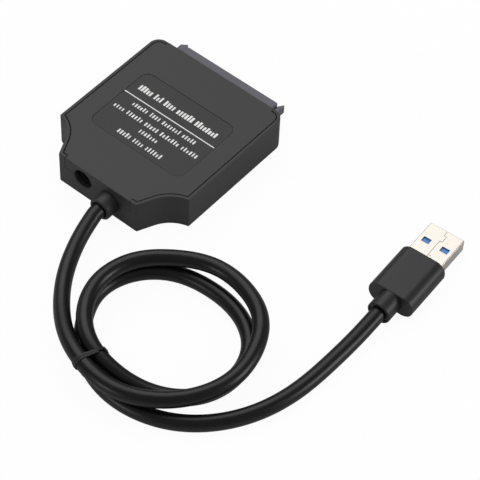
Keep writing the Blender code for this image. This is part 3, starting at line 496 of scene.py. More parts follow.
def natural_cubic(knots, fine=24):
    """The bends at the knots solve one set of equations in which each knot's bend agrees from both sides.
    Between two knots a point is a mix of both, plus each bend times the cube of the distance from it."""
    span = np.linalg.norm(np.diff(knots, axis=0), axis=1)
    before, after = span[:-1, None], span[1:, None]
    equations = np.eye(len(knots))
    inner = np.arange(1, len(knots) - 1)
    equations[inner, inner - 1] = span[:-1]
    equations[inner, inner] = 2 * (span[:-1] + span[1:])
    equations[inner, inner + 1] = span[1:]
    slopes = np.zeros_like(knots)
    slopes[1:-1] = 6 * ((knots[2:] - knots[1:-1]) / after - (knots[1:-1] - knots[:-2]) / before)
    bends = np.linalg.solve(equations, slopes)
    share = (np.arange(fine) / fine)[None, :, None]
    run = span[:, None, None]
    ahead = run * share
    behind = run - ahead
    first, last = knots[:-1, None], knots[1:, None]
    bend_first, bend_last = bends[:-1, None], bends[1:, None]
    points = (
        bend_first * behind ** 3 / (6 * run) + bend_last * ahead ** 3 / (6 * run)
        + (first / run - bend_first * run / 6) * behind + (last / run - bend_last * run / 6) * ahead)
    return np.concatenate([points.reshape(-1, 3), knots[-1:]])


def even_points(line, spacing):
    """Points at equal distances along a line, and the distance of each from its start."""
    run = np.concatenate([[0], np.cumsum(np.linalg.norm(np.diff(line, axis=0), axis=1))])
    marks = np.linspace(0, run[-1], int(round(run[-1] / spacing)) + 1)
    return np.column_stack([np.interp(marks, run, line[:, axis]) for axis in range(3)]), marks


out_of_boot = cable_start - np.array([0, CABLE_STRAIGHT, 0])
into_plug = cable_end - plug_along * CABLE_STRAIGHT
loops = natural_cubic(np.concatenate([[out_of_boot], route, [into_plug]]))
cable_line, cable_run = even_points(np.concatenate([[cable_start], loops, [cable_end]]), 1.0 * MM)
CABLE_LENGTH = cable_run[-1]
print("cable length", round(CABLE_LENGTH, 4))

# %% [markdown]
# The cable's skin is a circle carried along that line. At each point the circle stands square to the line:
# one of its axes is level and the other is square to both, which is safe here because the cable never
# stands upright. Its ends go a little way into the boot and the neck, where a dark ring shows.

# %% Cable
CABLE_SIDES = 28
END_TUCK = 0.8 * MM


def tube_rows(line, radius, turn):
    """Circles square to a line: the level direction is the line's direction crossed with +Z."""
    heading = unit(np.gradient(line, axis=0))
    level = unit(np.cross(heading, [0, 0, 1.0]))
    raised = np.cross(level, heading)
    ring = np.cos(turn)[None, :, None] * level[:, None] + np.sin(turn)[None, :, None] * raised[:, None]
    return line[:, None] + radius * ring


def tube_mesh(name, line, run, radius, sides):
    turn = np.linspace(0, 2 * np.pi, sides, endpoint=False)
    made = closed(tube_rows(line, radius, turn)).mesh(name)
    around = np.broadcast_to(np.stack([np.cos(turn), np.sin(turn)], -1) * radius, (len(line), sides, 2))
    along = np.broadcast_to(run[:, None, None], (len(line), sides, 1))
    coordinates = made.attributes.new("along_jacket", "FLOAT_VECTOR", "POINT")
    coordinates.data.foreach_set("vector", np.concatenate([around, along], -1).astype(np.float32).ravel())
    return made


tucked_line = np.concatenate([
    [cable_line[0] + [0, END_TUCK, 0]], cable_line, [cable_line[-1] + plug_along * END_TUCK]])
tucked_run = np.concatenate([[-END_TUCK], cable_run, [CABLE_LENGTH + END_TUCK]])
cable = new_object("cable", tube_mesh("cable", tucked_line, tucked_run, CABLE_DIAMETER / 2, CABLE_SIDES))
shade(cable, weighted=False)
dress(cable, jacket_black, "cable_jacket", "usb_cable")
print("cable faces", len(cable.data.polygons))

# %% [markdown]
# The box's plan is not a rectangle: each rear corner is cut away in a hollow curve of 11.8 mm radius that
# runs out into a short straight line. The plan is a function of how far it is moved inwards, because the
# outer wall, the rim, the lid's edge and the cavity are all the same plan at different insets. Its sharp
# corners get a small radius, whose centre is the sharp corner of a plan that is further in.

# %% The box's plan
BOX_WIDTH = 52.9 * MM
BOX_HEIGHT = 12.6 * MM
SIDE_LENGTH = 46.0 * MM
REAR_FACE_WIDTH = 31.6 * MM
FRONT_CORNER_RADIUS = 3.8 * MM
CUT_RADIUS = 11.8 * MM
CUT_LINE_ANGLE = math.radians(65)
CORNER_ROUNDING = 0.45 * MM
WALL = 2.0 * MM
FLOOR = 1.5 * MM
RIM_WIDTH = 1.1 * MM
LID_THICKNESS = 1.4 * MM
LID_GAP = 0.25 * MM
REAR_SKIRT_WIDTH = 26.4 * MM
SEAM_HEIGHT = 7.9 * MM
FRONT_NOTCH_WIDTH = 44.2 * MM
FRONT_NOTCH_BOTTOM = 2.8 * MM
REST_GAP = 0.3 * MM
SEAM_GAP = 0.15 * MM

line_way = np.array([math.cos(CUT_LINE_ANGLE), math.sin(CUT_LINE_ANGLE)])
line_out = np.array([math.sin(CUT_LINE_ANGLE), -math.cos(CUT_LINE_ANGLE)])
side_corner = np.array([BOX_WIDTH / 2, FRONT_Y - SIDE_LENGTH])
cut_base = np.array([REAR_FACE_WIDTH / 2, REAR_Y]) + line_out * CUT_RADIUS
gap_to_side = side_corner - cut_base
reach = gap_to_side @ line_way
to_centre = reach - math.sqrt(reach ** 2 - gap_to_side @ gap_to_side + CUT_RADIUS ** 2)
cut_centre = cut_base + line_way * to_centre


def side_corner_at(inset):
    """Where the side wall meets the cut's circle, both moved in by inset."""
    x = BOX_WIDTH / 2 - inset
    return np.array([x, cut_centre[1] + math.sqrt((CUT_RADIUS + inset) ** 2 - (x - cut_centre[0]) ** 2)])


def rear_corner_at(inset):
    """Where the cut's straight line meets the rear wall, both moved in by inset."""
    on_line = np.array([REAR_FACE_WIDTH / 2, REAR_Y]) - line_out * inset
    return on_line + line_way * (REAR_Y + inset - on_line[1]) / line_way[1]


def half_plan(inset):
    """The right half of the plan, front to rear: front corner, side corner, hollow cut, rear corner."""
    rounding = max(CORNER_ROUNDING - inset, 0.06 * MM)
    front = max(FRONT_CORNER_RADIUS - inset, 0.3 * MM)
    front_centre = (BOX_WIDTH / 2 - inset - front, FRONT_Y - inset - front)
    side_centre = side_corner_at(inset + rounding)
    rear_centre = rear_corner_at(inset + rounding)
    to_cut = cut_centre - side_centre
    from_cut = -to_cut
    meet = math.degrees(math.atan2(to_cut[1], to_cut[0]))
    away = math.degrees(math.atan2(from_cut[1], from_cut[0]))
    line_angle = math.degrees(CUT_LINE_ANGLE) - 90
    return np.concatenate([
        arc(front_centre, front, 90, 0, 12),
        arc(side_centre, rounding, 0, meet, 4),
        arc(cut_centre, CUT_RADIUS + inset, away, line_angle + 180, 28)[1:],
        arc(rear_centre, rounding, line_angle, -90, 4)])


def both_sides(half):
    mirrored = half[::-1] * [-1, 1]
    return np.concatenate([half, mirrored])


plan_points = both_sides(half_plan(0))
print("plan", len(plan_points), "points", np.round(np.ptp(plan_points, axis=0) * 1000, 2), "mm")

# %% [markdown]
# The lower shell is one profile carried round that plan: a rounded foot, the wall, a rounded outer edge,
# the rim that shows round the lid, the lid's seat and the cavity. Each point of the profile is an inset
# and a height. Then the openings are cut: the wide notch for the drive connector, the shallow one for the
# lid's rear skirt, and two round holes, of which the power hole has a slightly flared mouth.

# %% Lower shell
FOOT_EDGE = 0.5 * MM
TOP_EDGE = 0.3 * MM
RIM_EDGE = 0.12 * MM
JACK_CENTRE = (-6.1 * MM, 7.7 * MM)
JACK_HOLE_RADIUS = 3.35 * MM
JACK_FLARE = 0.3 * MM
JACK_LIP = 0.8 * MM
BOOT_HOLE_RADIUS = 3.65 * MM
ABOVE = BOX_HEIGHT + 2 * MM

lid_bottom = BOX_HEIGHT - LID_THICKNESS
shell_profile = np.concatenate([
    arc((FOOT_EDGE, FOOT_EDGE), FOOT_EDGE, 270, 180, 4),
    arc((TOP_EDGE, BOX_HEIGHT - TOP_EDGE), TOP_EDGE, 180, 90, 4),
    arc((RIM_WIDTH - RIM_EDGE, BOX_HEIGHT - RIM_EDGE), RIM_EDGE, 90, 0, 3),
    [(RIM_WIDTH, lid_bottom - REST_GAP), (WALL, lid_bottom - REST_GAP), (WALL, FLOOR)]])
shell = build("housing_shell", closed([
    lifted(both_sides(half_plan(inset)), height) for inset, height in shell_profile]))


def round_hole(centre, radius, flare=0.0, lip=0.0):
    """A cutter along Y through the rear wall. With a flare its mouth is wider at the outer face, and
    with a lip it widens again behind it, so that only a thin edge shows before the dark inside."""
    outer = REAR_Y - MM
    inner = REAR_Y + WALL + MM
    profile = [(radius, outer), (radius, inner)]
    if flare:
        profile = [
            (radius + flare, outer), (radius + flare, REAR_Y), (radius, REAR_Y + flare),
            (radius, REAR_Y + lip), (radius + flare, REAR_Y + lip + flare), (radius + flare, inner)]
    return closed(turned_about_y(profile, *centre))


rear_half = REAR_SKIRT_WIDTH / 2 + SEAM_GAP
front_half = FRONT_NOTCH_WIDTH / 2
rear_notch = block(rectangle((-rear_half, REAR_Y - MM), (rear_half, REAR_Y + WALL + MM)), SEAM_HEIGHT, ABOVE)
front_notch = block(
    rectangle((-front_half, FRONT_Y - WALL - MM), (front_half, FRONT_Y + MM)), FRONT_NOTCH_BOTTOM, ABOVE)
wall_holes = [
    round_hole(BOOT_CENTRE, BOOT_HOLE_RADIUS),
    round_hole(JACK_CENTRE, JACK_HOLE_RADIUS, JACK_FLARE, JACK_LIP)]
carve(shell, [rear_notch, front_notch] + wall_holes)
shade(shell)
dress(shell, charcoal, "charcoal_abs", "bottom_shell")
print("lower shell faces", len(shell.data.polygons))

# %% [markdown]
# The lid drops into the rim and leaves a thin dark line all round. At the rear and the front it has a
# skirt that lies flush with the walls, so its plan has two tabs. Its top is one flat face with a shallow
# rounded recess for the label, and all its edges are slightly rounded so that they catch the light.

# %% Lid
LABEL_WIDTH = 37.1 * MM
LABEL_LENGTH = 27.4 * MM
LABEL_CENTRE = (0, 1.1 * MM)
LABEL_CORNER = 3.0 * MM
LABEL_MARGIN = 0.07 * MM
LABEL_RECESS = 0.3 * MM
LID_EDGE = 0.18 * MM
RECESS_EDGE = 0.08 * MM
SKIRT_OVERLAP = 0.5 * MM
SATA_TOP = 8.0 * MM

lid_inset = RIM_WIDTH + LID_GAP
rear_tab = REAR_SKIRT_WIDTH / 2
front_tab = front_half - LID_GAP
lid_half = np.concatenate([
    [(front_tab, FRONT_Y), (front_tab, FRONT_Y - lid_inset)], half_plan(lid_inset),
    [(rear_tab, REAR_Y + lid_inset), (rear_tab, REAR_Y)]])
lid_outline = both_sides(lid_half)
lid_rows = [lifted(lid_outline, lid_bottom)] + edge_rows(lid_outline, BOX_HEIGHT, -LID_EDGE, -LID_EDGE)
recess_outline = rounded_rectangle(
    LABEL_WIDTH + 2 * LABEL_MARGIN, LABEL_LENGTH + 2 * LABEL_MARGIN,
    LABEL_CORNER + LABEL_MARGIN, LABEL_CENTRE)
recess_rows = edge_rows(recess_outline, BOX_HEIGHT, RECESS_EDGE, -RECESS_EDGE, turns=QUARTER_TURN[::-1])
recess_rows += [lifted(recess_outline, BOX_HEIGHT - LABEL_RECESS)]
lid_skin = Skin()
lid_index = lid_skin.stack(lid_rows)
recess_index = lid_skin.stack(recess_rows)
lid_skin.fill(lid_index[0])
lid_skin.fill(lid_index[-1], recess_index[0])
lid_skin.fill(recess_index[-1])
lid = build("housing_lid", lid_skin)
skirt_top = lid_bottom + SKIRT_OVERLAP
rear_skirt = block(
    rectangle((-rear_tab, REAR_Y), (rear_tab, REAR_Y + WALL)), SEAM_HEIGHT + SEAM_GAP, skirt_top)
front_skirt = block(
    rectangle((-front_tab, FRONT_Y - WALL), (front_tab, FRONT_Y)), SATA_TOP + REST_GAP, skirt_top)
carve(lid, [rear_skirt, front_skirt], "UNION")
carve(lid, wall_holes)
shade(lid)
dress(lid, charcoal, "charcoal_abs", "top_lid")
print("lid faces", len(lid.data.polygons))

# %% [markdown]
# The label is a sheet of dark film that lies in the recess a tenth of a millimetre below the lid. The real
# one is printed. Here the print is kept to plain marks: the white line that divides the label, and rows of
# short upright strokes in groups, each row as long and as high as a row of print would be.

# %% Label and its print
LABEL_TOP = BOX_HEIGHT - 0.1 * MM
LABEL_EDGE = 0.06 * MM
INK = 0.02 * MM

label_outline = rounded_rectangle(LABEL_WIDTH, LABEL_LENGTH, LABEL_CORNER, LABEL_CENTRE)
label = build("label_sheet", closed(
    [lifted(label_outline, BOX_HEIGHT - LABEL_RECESS)]
    + edge_rows(label_outline, LABEL_TOP, -LABEL_EDGE, -LABEL_EDGE)))
shade(label)
dress(label, label_black, "label_film", "label_plate")

# Each row: its middle height, its whole width, the height of its strokes, how much of the row is ink, and
# the strokes in each group
PRINT_ROWS = [
    (8.55, 32.0, 2.5, 0.60, (5, 3, 4, 6, 8)),
    (1.85, 25.8, 1.8, 0.43, (6, 4, 7, 5)),
    (-2.15, 34.2, 1.8, 0.43, (4, 6, 5, 7, 6)),
    (-5.5, 7.6, 1.6, 0.43, (7,)),
    (-9.55, 17.9, 1.9, 0.45, (5, 4, 6)),
]
DIVIDER_Y = 4.17 * MM
DIVIDER_WIDTH = 0.35 * MM
DIVIDER_SHORTER = 0.3 * MM
GROUP_SPACE = 0.8


def flat_marks(name, centres, sizes, low, high):
    """Many small flat boxes in one mesh: the eight corners of each are its centre plus or minus half its
    size, worked out for all the boxes together."""
    signs = np.array([(-1, -1), (1, -1), (1, 1), (-1, 1)]) / 2
    corners = centres[:, None] + signs[None] * sizes[:, None]
    levels = np.array([low, high])
    points = np.concatenate([
        np.broadcast_to(corners[:, None], (len(centres), 2, 4, 2)),
        np.broadcast_to(levels[None, :, None, None], (len(centres), 2, 4, 1))], axis=-1)
    box = np.array([(3, 2, 1, 0), (4, 5, 6, 7), (0, 1, 5, 4), (1, 2, 6, 5), (2, 3, 7, 6), (3, 0, 4, 7)])
    faces = box[None] + 8 * np.arange(len(centres))[:, None, None]
    made = bpy.data.meshes.new(name)
    made.from_pydata(points.reshape(-1, 3), [], faces.reshape(-1, 4).tolist())
    return made


rng = np.random.default_rng(7)
centres = [(0, DIVIDER_Y)]
sizes = [(LABEL_WIDTH - DIVIDER_SHORTER, DIVIDER_WIDTH)]
for middle, width, height, inked, groups in PRINT_ROWS:
    breaks = np.repeat(np.arange(len(groups)), groups)
    places = np.arange(sum(groups)) + breaks * GROUP_SPACE
    pitch = width / (places[-1] + 1)
    places = (places - places[-1] / 2) * pitch
    tall = rng.uniform(0.62, 1.0, len(places)) * height
    wide = rng.uniform(0.85, 1.25, len(places)) * inked * pitch
    base = middle - height / 2 + tall / 2
    centres += list(zip(places * MM, base * MM))
    sizes += list(zip(wide * MM, tall * MM))
ink = new_object("label_print", flat_marks(
    "label_print", np.array(centres), np.array(sizes), LABEL_TOP - INK, LABEL_TOP + INK))
dress(ink, ink_white, "label_film")
print("print marks", len(centres))

# %% [markdown]
# The drive connector is a block of grey-violet glass-filled plastic. Its mating face has two keyed slots,
# each with a short drop at one end, in which the gilded contacts lie, and a guide post stands at each side.
# The block is a stack of outlines along Y, its face is filled round the two slots, and each slot goes back
# as a stack of its own with a lead-in. The posts and the small bridge beside the right one are joined on.

# %% Drive connector
SATA_HALF = 18.6 * MM
SATA_BOTTOM = 3.1 * MM
SATA_BACK_Y = 22.2 * MM
SATA_FRONT_Y = 35.1 * MM
GUIDE_GAP = 0.4 * MM
GUIDE_LOW = 3.7 * MM
GUIDE_HIGH = 7.0 * MM
GUIDE_TIP_Y = 36.5 * MM
LEFT_GUIDE = (21.85 * MM, 1.35 * MM, 20.0 * MM, 19.4 * MM)
RIGHT_GUIDE = (20.4 * MM, 0.2 * MM, 20.2 * MM, 19.15 * MM)
FLANGE_LENGTH = 3.0 * MM
FLANGE_STEP = 0.4 * MM
SLOT_LOW = 4.7 * MM
SLOT_HIGH = 6.2 * MM
SLOT_DEPTH = 6.2 * MM
KEY_DROP = 1.0 * MM
KEY_WIDTH = 1.4 * MM
SIGNAL_WIDTH = 10.2 * MM
POWER_WIDTH = 20.6 * MM
SLOT_SPACE = 2.2 * MM
SATA_EDGE = 0.22 * MM
SATA_CORNER = 0.3 * MM
POST_SETBACK = 0.1 * MM
POST_EDGE = 0.12 * MM
LEAD_IN = 0.25 * MM


def keyed_slot(left, width, key_at_left):
    """Front view of a slot: a flat gap whose lower side drops at one end."""
    right = left + width
    low = SLOT_LOW - KEY_DROP
    if key_at_left:
        return np.array([
            (left, low), (left + KEY_WIDTH, low), (left + KEY_WIDTH, SLOT_LOW), (right, SLOT_LOW),
            (right, SLOT_HIGH), (left, SLOT_HIGH)])
    return np.array([
        (left, SLOT_LOW), (right - KEY_WIDTH, SLOT_LOW), (right - KEY_WIDTH, low), (right, low),
        (right, SLOT_HIGH), (left, SLOT_HIGH)])


signal_left = -(SIGNAL_WIDTH + SLOT_SPACE + POWER_WIDTH) / 2
power_left = signal_left + SIGNAL_WIDTH + SLOT_SPACE
face_outline = rounded_rectangle(
    2 * SATA_HALF, SATA_TOP - SATA_BOTTOM, SATA_CORNER, (0, (SATA_TOP + SATA_BOTTOM) / 2), 4)
connector_skin = Skin()
body = connector_skin.stack(
    [lifted(face_outline, SATA_BACK_Y, "Y")]
    + edge_rows(face_outline, SATA_FRONT_Y, -SATA_EDGE, -SATA_EDGE, "Y"))
connector_skin.fill(body[0])
slot_mouths = []
for outline in (keyed_slot(signal_left, SIGNAL_WIDTH, False), keyed_slot(power_left, POWER_WIDTH, True)):
    index = connector_skin.stack([
        lifted(grown(outline, LEAD_IN), SATA_FRONT_Y, "Y"), lifted(outline, SATA_FRONT_Y - LEAD_IN, "Y"),
        lifted(outline, SATA_FRONT_Y - SLOT_DEPTH, "Y")])
    connector_skin.fill(index[-1])
    slot_mouths.append(index[0])
connector_skin.fill(body[-1], *slot_mouths)
connector = build("drive_connector", connector_skin)


def guide_post(side, inner, sizes):
    """Plan of a post, pointed at the front: a slope on its outer side and a steep one inside.
    Its sizes are the outer face, the length of that slope, the point and the start of the steep slope."""
    outer, slope, point, shoulder = sizes
    plan = np.array([
        (inner, SATA_BACK_Y), (outer, SATA_BACK_Y), (outer, GUIDE_TIP_Y - slope),
        (point, GUIDE_TIP_Y), (shoulder, SATA_FRONT_Y - POST_SETBACK), (inner, SATA_FRONT_Y - POST_SETBACK)])
    return block(plan * [side, 1], GUIDE_LOW, GUIDE_HIGH, POST_EDGE)


guide_inner = SATA_HALF + GUIDE_GAP
bridge = block(
    rectangle((SATA_HALF - MM, SATA_BACK_Y + FLANGE_STEP), (guide_inner + MM, SATA_BACK_Y + FLANGE_LENGTH)),
    GUIDE_LOW + FLANGE_STEP, GUIDE_HIGH - FLANGE_STEP)
posts = [guide_post(-1, SATA_HALF - MM, LEFT_GUIDE), guide_post(1, guide_inner, RIGHT_GUIDE)]
carve(connector, posts + [bridge], "UNION")
shade(connector)
dress(connector, connector_grey, "grey_violet_plastic", "sata_connector_body")
print("connector faces", len(connector.data.polygons))

# %% [markdown]
# A soft collar holds the cable at the wall. It is a turned shape: a waist through the wall, the collar with
# a rounded outer edge, and a shallow recess in its end face, whose shadow draws the dark ring round the
# cable. The neck of the plug is made the same way, so one function gives both profiles.

# %% Boot
BOOT_RADIUS = 3.85 * MM
BOOT_WAIST = 3.4 * MM
BOOT_EDGE = 0.55 * MM
BOOT_RING = (2.85 * MM, 0.9 * MM)
BOOT_FOOT = 0.12 * MM
BOOT_FOOT_EDGE = 0.15 * MM
RING_EDGE = 0.12 * MM


def collar_profile(radius, length, edge, ring):
    """From the wall outwards as (radius, distance): side, rounded edge, end face, recess round the cable.
    The ring gives that recess's radius and depth."""
    inner, depth = ring
    return np.concatenate([
        [(radius, 0)], arc((radius - edge, length - edge), edge, 0, 90, 6),
        arc((inner + RING_EDGE, length - RING_EDGE), RING_EDGE, 90, 180, 2),
        [(inner, length - depth)]])


boot_outer = collar_profile(BOOT_RADIUS, BOOT_LENGTH, BOOT_EDGE, BOOT_RING)
boot_profile = np.concatenate([
    [(BOOT_WAIST, -WALL - REST_GAP), (BOOT_WAIST, BOOT_FOOT), (BOOT_RADIUS - BOOT_FOOT_EDGE, BOOT_FOOT),
     (BOOT_RADIUS, BOOT_FOOT + BOOT_FOOT_EDGE)], boot_outer[1:]])
boot = build("boot_collar", closed(
    turned_about_y(boot_profile * [1, -1] + [0, REAR_Y], *BOOT_CENTRE)))
shade(boot)
dress(boot, boot_black, "black_vinyl", "cable_boot")
print("boot faces", len(boot.data.polygons))

# %% [markdown]
# The plug lies a few degrees off the box's own direction. It is easiest to shape in a frame of its own,
# with the middle of its open end at zero and its length along Y, and to turn and move the finished points
# at the end. Its overmould has a flat top, full round sides and a pocket for the metal shell, and behind
# it comes a round neck like the boot.

# %% Plug overmould
OVERMOULD_WIDTH = 15.6 * MM
OVERMOULD_HEIGHT = 8.0 * MM
OVERMOULD_CORNER = 3.7 * MM
OVERMOULD_FRONT_EDGE = 0.5 * MM
OVERMOULD_REAR_EDGE = 0.3 * MM
NECK_RADIUS = 3.9 * MM
NECK_EDGE = 0.45 * MM
NECK_RING = (3.3 * MM, 0.45 * MM)
SHELL_WIDTH = 12.0 * MM
SHELL_HEIGHT = 4.5 * MM
SHELL_BURIED = 4.0 * MM
POCKET_CORNER = 0.55 * MM
FIT_GAP = 0.06 * MM

plug_place = Matrix.Translation(Vector(PLUG_TIP)) @ Matrix.Rotation(PLUG_TURN, 4, "Z")
mould_front = -SHELL_EXPOSED
mould_back = mould_front - OVERMOULD_LENGTH
mould_outline = rounded_rectangle(OVERMOULD_WIDTH, OVERMOULD_HEIGHT, OVERMOULD_CORNER, steps=16)
rear_turn = np.radians(np.linspace(90, 0, 4))
mould_rows = edge_rows(
    mould_outline, mould_back, -OVERMOULD_REAR_EDGE, OVERMOULD_REAR_EDGE, "Y", rear_turn)
mould_rows += edge_rows(mould_outline, mould_front, -OVERMOULD_FRONT_EDGE, -OVERMOULD_FRONT_EDGE, "Y")
pocket_outline = rounded_rectangle(
    SHELL_WIDTH + 2 * FIT_GAP, SHELL_HEIGHT + 2 * FIT_GAP, POCKET_CORNER, steps=5)
neck_profile = collar_profile(NECK_RADIUS, NECK_LENGTH, NECK_EDGE, NECK_RING)
mould_skin = Skin()
mould_index = mould_skin.stack(mould_rows)
pocket_index = mould_skin.stack([
    lifted(pocket_outline, mould_front, "Y"),
    lifted(pocket_outline, mould_front - SHELL_BURIED - FIT_GAP, "Y")])
neck_index = mould_skin.stack(turned_about_y(neck_profile * [1, -1] + [0, mould_back], 0, 0))
mould_skin.fill(mould_index[-1], pocket_index[0])
mould_skin.fill(pocket_index[-1])
mould_skin.fill(mould_index[0], neck_index[0])
mould_skin.fill(neck_index[-1])
overmould = build("plug_grip", mould_skin)
overmould.data.transform(plug_place)
shade(overmould)
dress(overmould, plug_black, "plug_vinyl", "plug_overmould")
print("overmould faces", len(overmould.data.polygons))

# %% [markdown]
# The shell is folded from sheet 0.32 mm thick. Its open lip turns in slightly, two windows on the top and
# two underneath let the socket's springs catch, and the joint where the sheet's edges meet shows on top as
# a fine stepped line. The walls are one stack of loops, out along the outside and back along the inside.
# The windows and the joint are cut: the joint is a groove a fifth of a millimetre deep.

# %% Plug shell
SHEET = 0.32 * MM
SHELL_CORNER = 0.3 * MM
LIP = 0.14 * MM
WINDOW_WIDTH = 2.7 * MM
WINDOW_LENGTH = 2.1 * MM
WINDOW_X = 3.3 * MM
WINDOW_BACK = 6.85 * MM
WINDOW_CORNER = 0.2 * MM
WINDOW_CUT = 0.6 * MM
LIP_START = 0.9 * MM
INSIDE_END = 0.5 * MM
SEAM_WIDTH = 0.19 * MM
SEAM_DEPTH = 0.2 * MM

shell_back = mould_front - SHELL_BURIED
metal_outline = rounded_rectangle(SHELL_WIDTH, SHELL_HEIGHT, SHELL_CORNER, steps=8)
lip_turn = np.radians(np.linspace(0, 180, 9))
lip_rows = [
    lifted(grown(metal_outline, -SHEET / 2 * (1 - math.cos(a)) - LIP * math.sin(a / 2) ** 2 * (a < 3)),
           -SHEET / 2 * (1 - math.sin(a)), "Y") for a in lip_turn]
inside_outline = grown(metal_outline, -SHEET)
metal = build("plug_shell", closed(
    [lifted(metal_outline, shell_back, "Y"), lifted(metal_outline, -LIP_START, "Y")] + lip_rows
    + [lifted(inside_outline, -LIP_START, "Y"), lifted(inside_outline, shell_back + INSIDE_END, "Y")]))
half_height = SHELL_HEIGHT / 2


def window(x, low, high):
    return block(
        rounded_rectangle(WINDOW_WIDTH, WINDOW_LENGTH, WINDOW_CORNER, (x, -WINDOW_BACK), 4), low, high)


def groove(path):
    """A path's two sides, each half a seam width away from it, as a thin block in the shell's top."""
    path = np.asarray(path, float) * MM
    side = unit(np.diff(path, axis=0))
    normal = np.column_stack([side[:, 1], -side[:, 0]])
    ends = np.concatenate([normal[:1], normal, normal[-1:]])
    shift = mitre(ends[:-1], ends[1:]) * SEAM_WIDTH / 2
    outline = np.concatenate([path + shift, (path - shift)[::-1]])
    return block(outline, half_height - SEAM_DEPTH, half_height + MM)


seam_path = [
    (-0.02, 0.3), (0.03, -1.95), (0.15, -2.12), (0.84, -2.08), (0.95, -2.2), (0.99, -4.42), (0.88, -4.58),
    (0.22, -4.62), (0.1, -4.75), (0.18, -13.5)]
tab_path = [(0.14, -11.08), (1.15, -11.16)]
top_and_under = [
    (half_height - WINDOW_CUT, half_height + MM), (-half_height - MM, -half_height + WINDOW_CUT)]
windows = [window(x, *levels) for levels in top_and_under for x in (WINDOW_X, -WINDOW_X)]
carve(metal, windows + [groove(seam_path), groove(tab_path)])
metal.data.transform(plug_place)
shade(metal)
dress(metal, bright_nickel, "nickel", "usb_shell")
print("plug shell faces", len(metal.data.polygons))

# %% [markdown]
# A twist tie holds the two loops where the first strand crosses over: a thin plastic strip with a wire in
# its middle, pulled tight round the strands. The strip's line is the outline that a tight band draws round
# the strands that cross its plane: for every direction it takes the strand that reaches furthest, and adds
# the strand's radius. Where the line jumps from one strand to the next it sags inwards a little.

# %% The line of the twist tie
TIE_CENTRE = np.array([41.45, -77.66, 0]) * MM
TIE_HEADING = math.radians(-20)
TIE_GAP = 0.15 * MM
TIE_SAG = 0.7 * MM
TIE_JUMP = 0.5 * MM
TIE_REACH = 3 * CABLE_DIAMETER

tie_along = np.array([math.cos(TIE_HEADING), math.sin(TIE_HEADING), 0])
tie_across = np.array([-tie_along[1], tie_along[0], 0])
UPWARDS = np.array([0, 0, 1.0])
beyond = (cable_line - TIE_CENTRE) @ tie_along
crossing = np.flatnonzero(beyond[:-1] * beyond[1:] < 0)
share = (beyond[crossing] / (beyond[crossing] - beyond[crossing + 1]))[:, None]
crossings = cable_line[crossing] * (1 - share) + cable_line[crossing + 1] * share
offsets = (crossings - TIE_CENTRE) @ tie_across
strands = np.column_stack([offsets, crossings[:, 2]])[np.abs(offsets) < TIE_REACH]

turn = np.linspace(0, 2 * np.pi, 241)
facing = np.column_stack([np.cos(turn), np.sin(turn)])
tight = strands[np.argmax(strands @ facing.T, axis=0)] + facing * (CABLE_DIAMETER / 2 + TIE_GAP)
step = np.linalg.norm(np.diff(tight, axis=0), axis=1)
reached = np.concatenate([[0], np.cumsum(step)])
marks = np.linspace(0, reached[-1], 401)[:-1]
part_of = np.searchsorted(reached, marks, side="right") - 1
along_part = (marks - reached[part_of]) / step[part_of]
sags_here = (step[part_of] > TIE_JUMP) * (facing[part_of, 1] < 0.5)
sag = TIE_SAG * 4 * along_part * (1 - along_part) * sags_here
band_line = np.column_stack([np.interp(marks, reached, tight[:, k]) for k in (0, 1)])
band_line = band_line - sag[:, None] * facing[part_of]
print("the tie goes round", len(strands), "strands,", round(reached[-1] * 1000, 1), "mm")

# %% [markdown]
# The strip is carried along that line. On top of the inner strand it is pinched and turned once about
# itself, and beyond that it spreads again.

# %% Twist tie
TIE_THICKNESS = 0.28 * MM
TIE_WIRE = 0.24 * MM
TIE_KNOT = 76
TWIST_LENGTH = 2.0 * MM
KNOT_LIFT = 0.22 * MM
KNOT_LENGTH = 0.8 * MM

SECTION = np.concatenate([
    arc((0, 0), TIE_THICKNESS / 2, -90, 90, 4), arc((0, TIE_THICKNESS * 0.1), TIE_WIRE, 30, 150, 5),
    arc((0, 0), TIE_THICKNESS / 2, 90, 270, 4), arc((0, -TIE_THICKNESS * 0.1), TIE_WIRE, 210, 330, 5)])
SECTION_SIDE = np.repeat([1, 0, -1, 0], [5, 6, 5, 6])    # the four arcs above have 5, 6, 5 and 6 points


def strip_rows(line, sideways, outward, width, twist):
    """A flat strip carried along a line. Its section has two round edges, half a width from its middle, with
    the wire's bump between them. It is turned by the twist: each point's two coordinates are mixed by the
    twist's cosine and sine, and laid off along the sideways and the outward direction."""
    level = SECTION_SIDE * (width[:, None] - TIE_THICKNESS) / 2 + SECTION[:, 0]
    raised = SECTION[:, 1]
    cosine, sine = np.cos(twist)[:, None], np.sin(twist)[:, None]
    across = level * cosine - raised * sine
    proud = level * sine + raised * cosine
    return line[:, None] + across[..., None] * sideways[:, None] + proud[..., None] * outward[:, None]


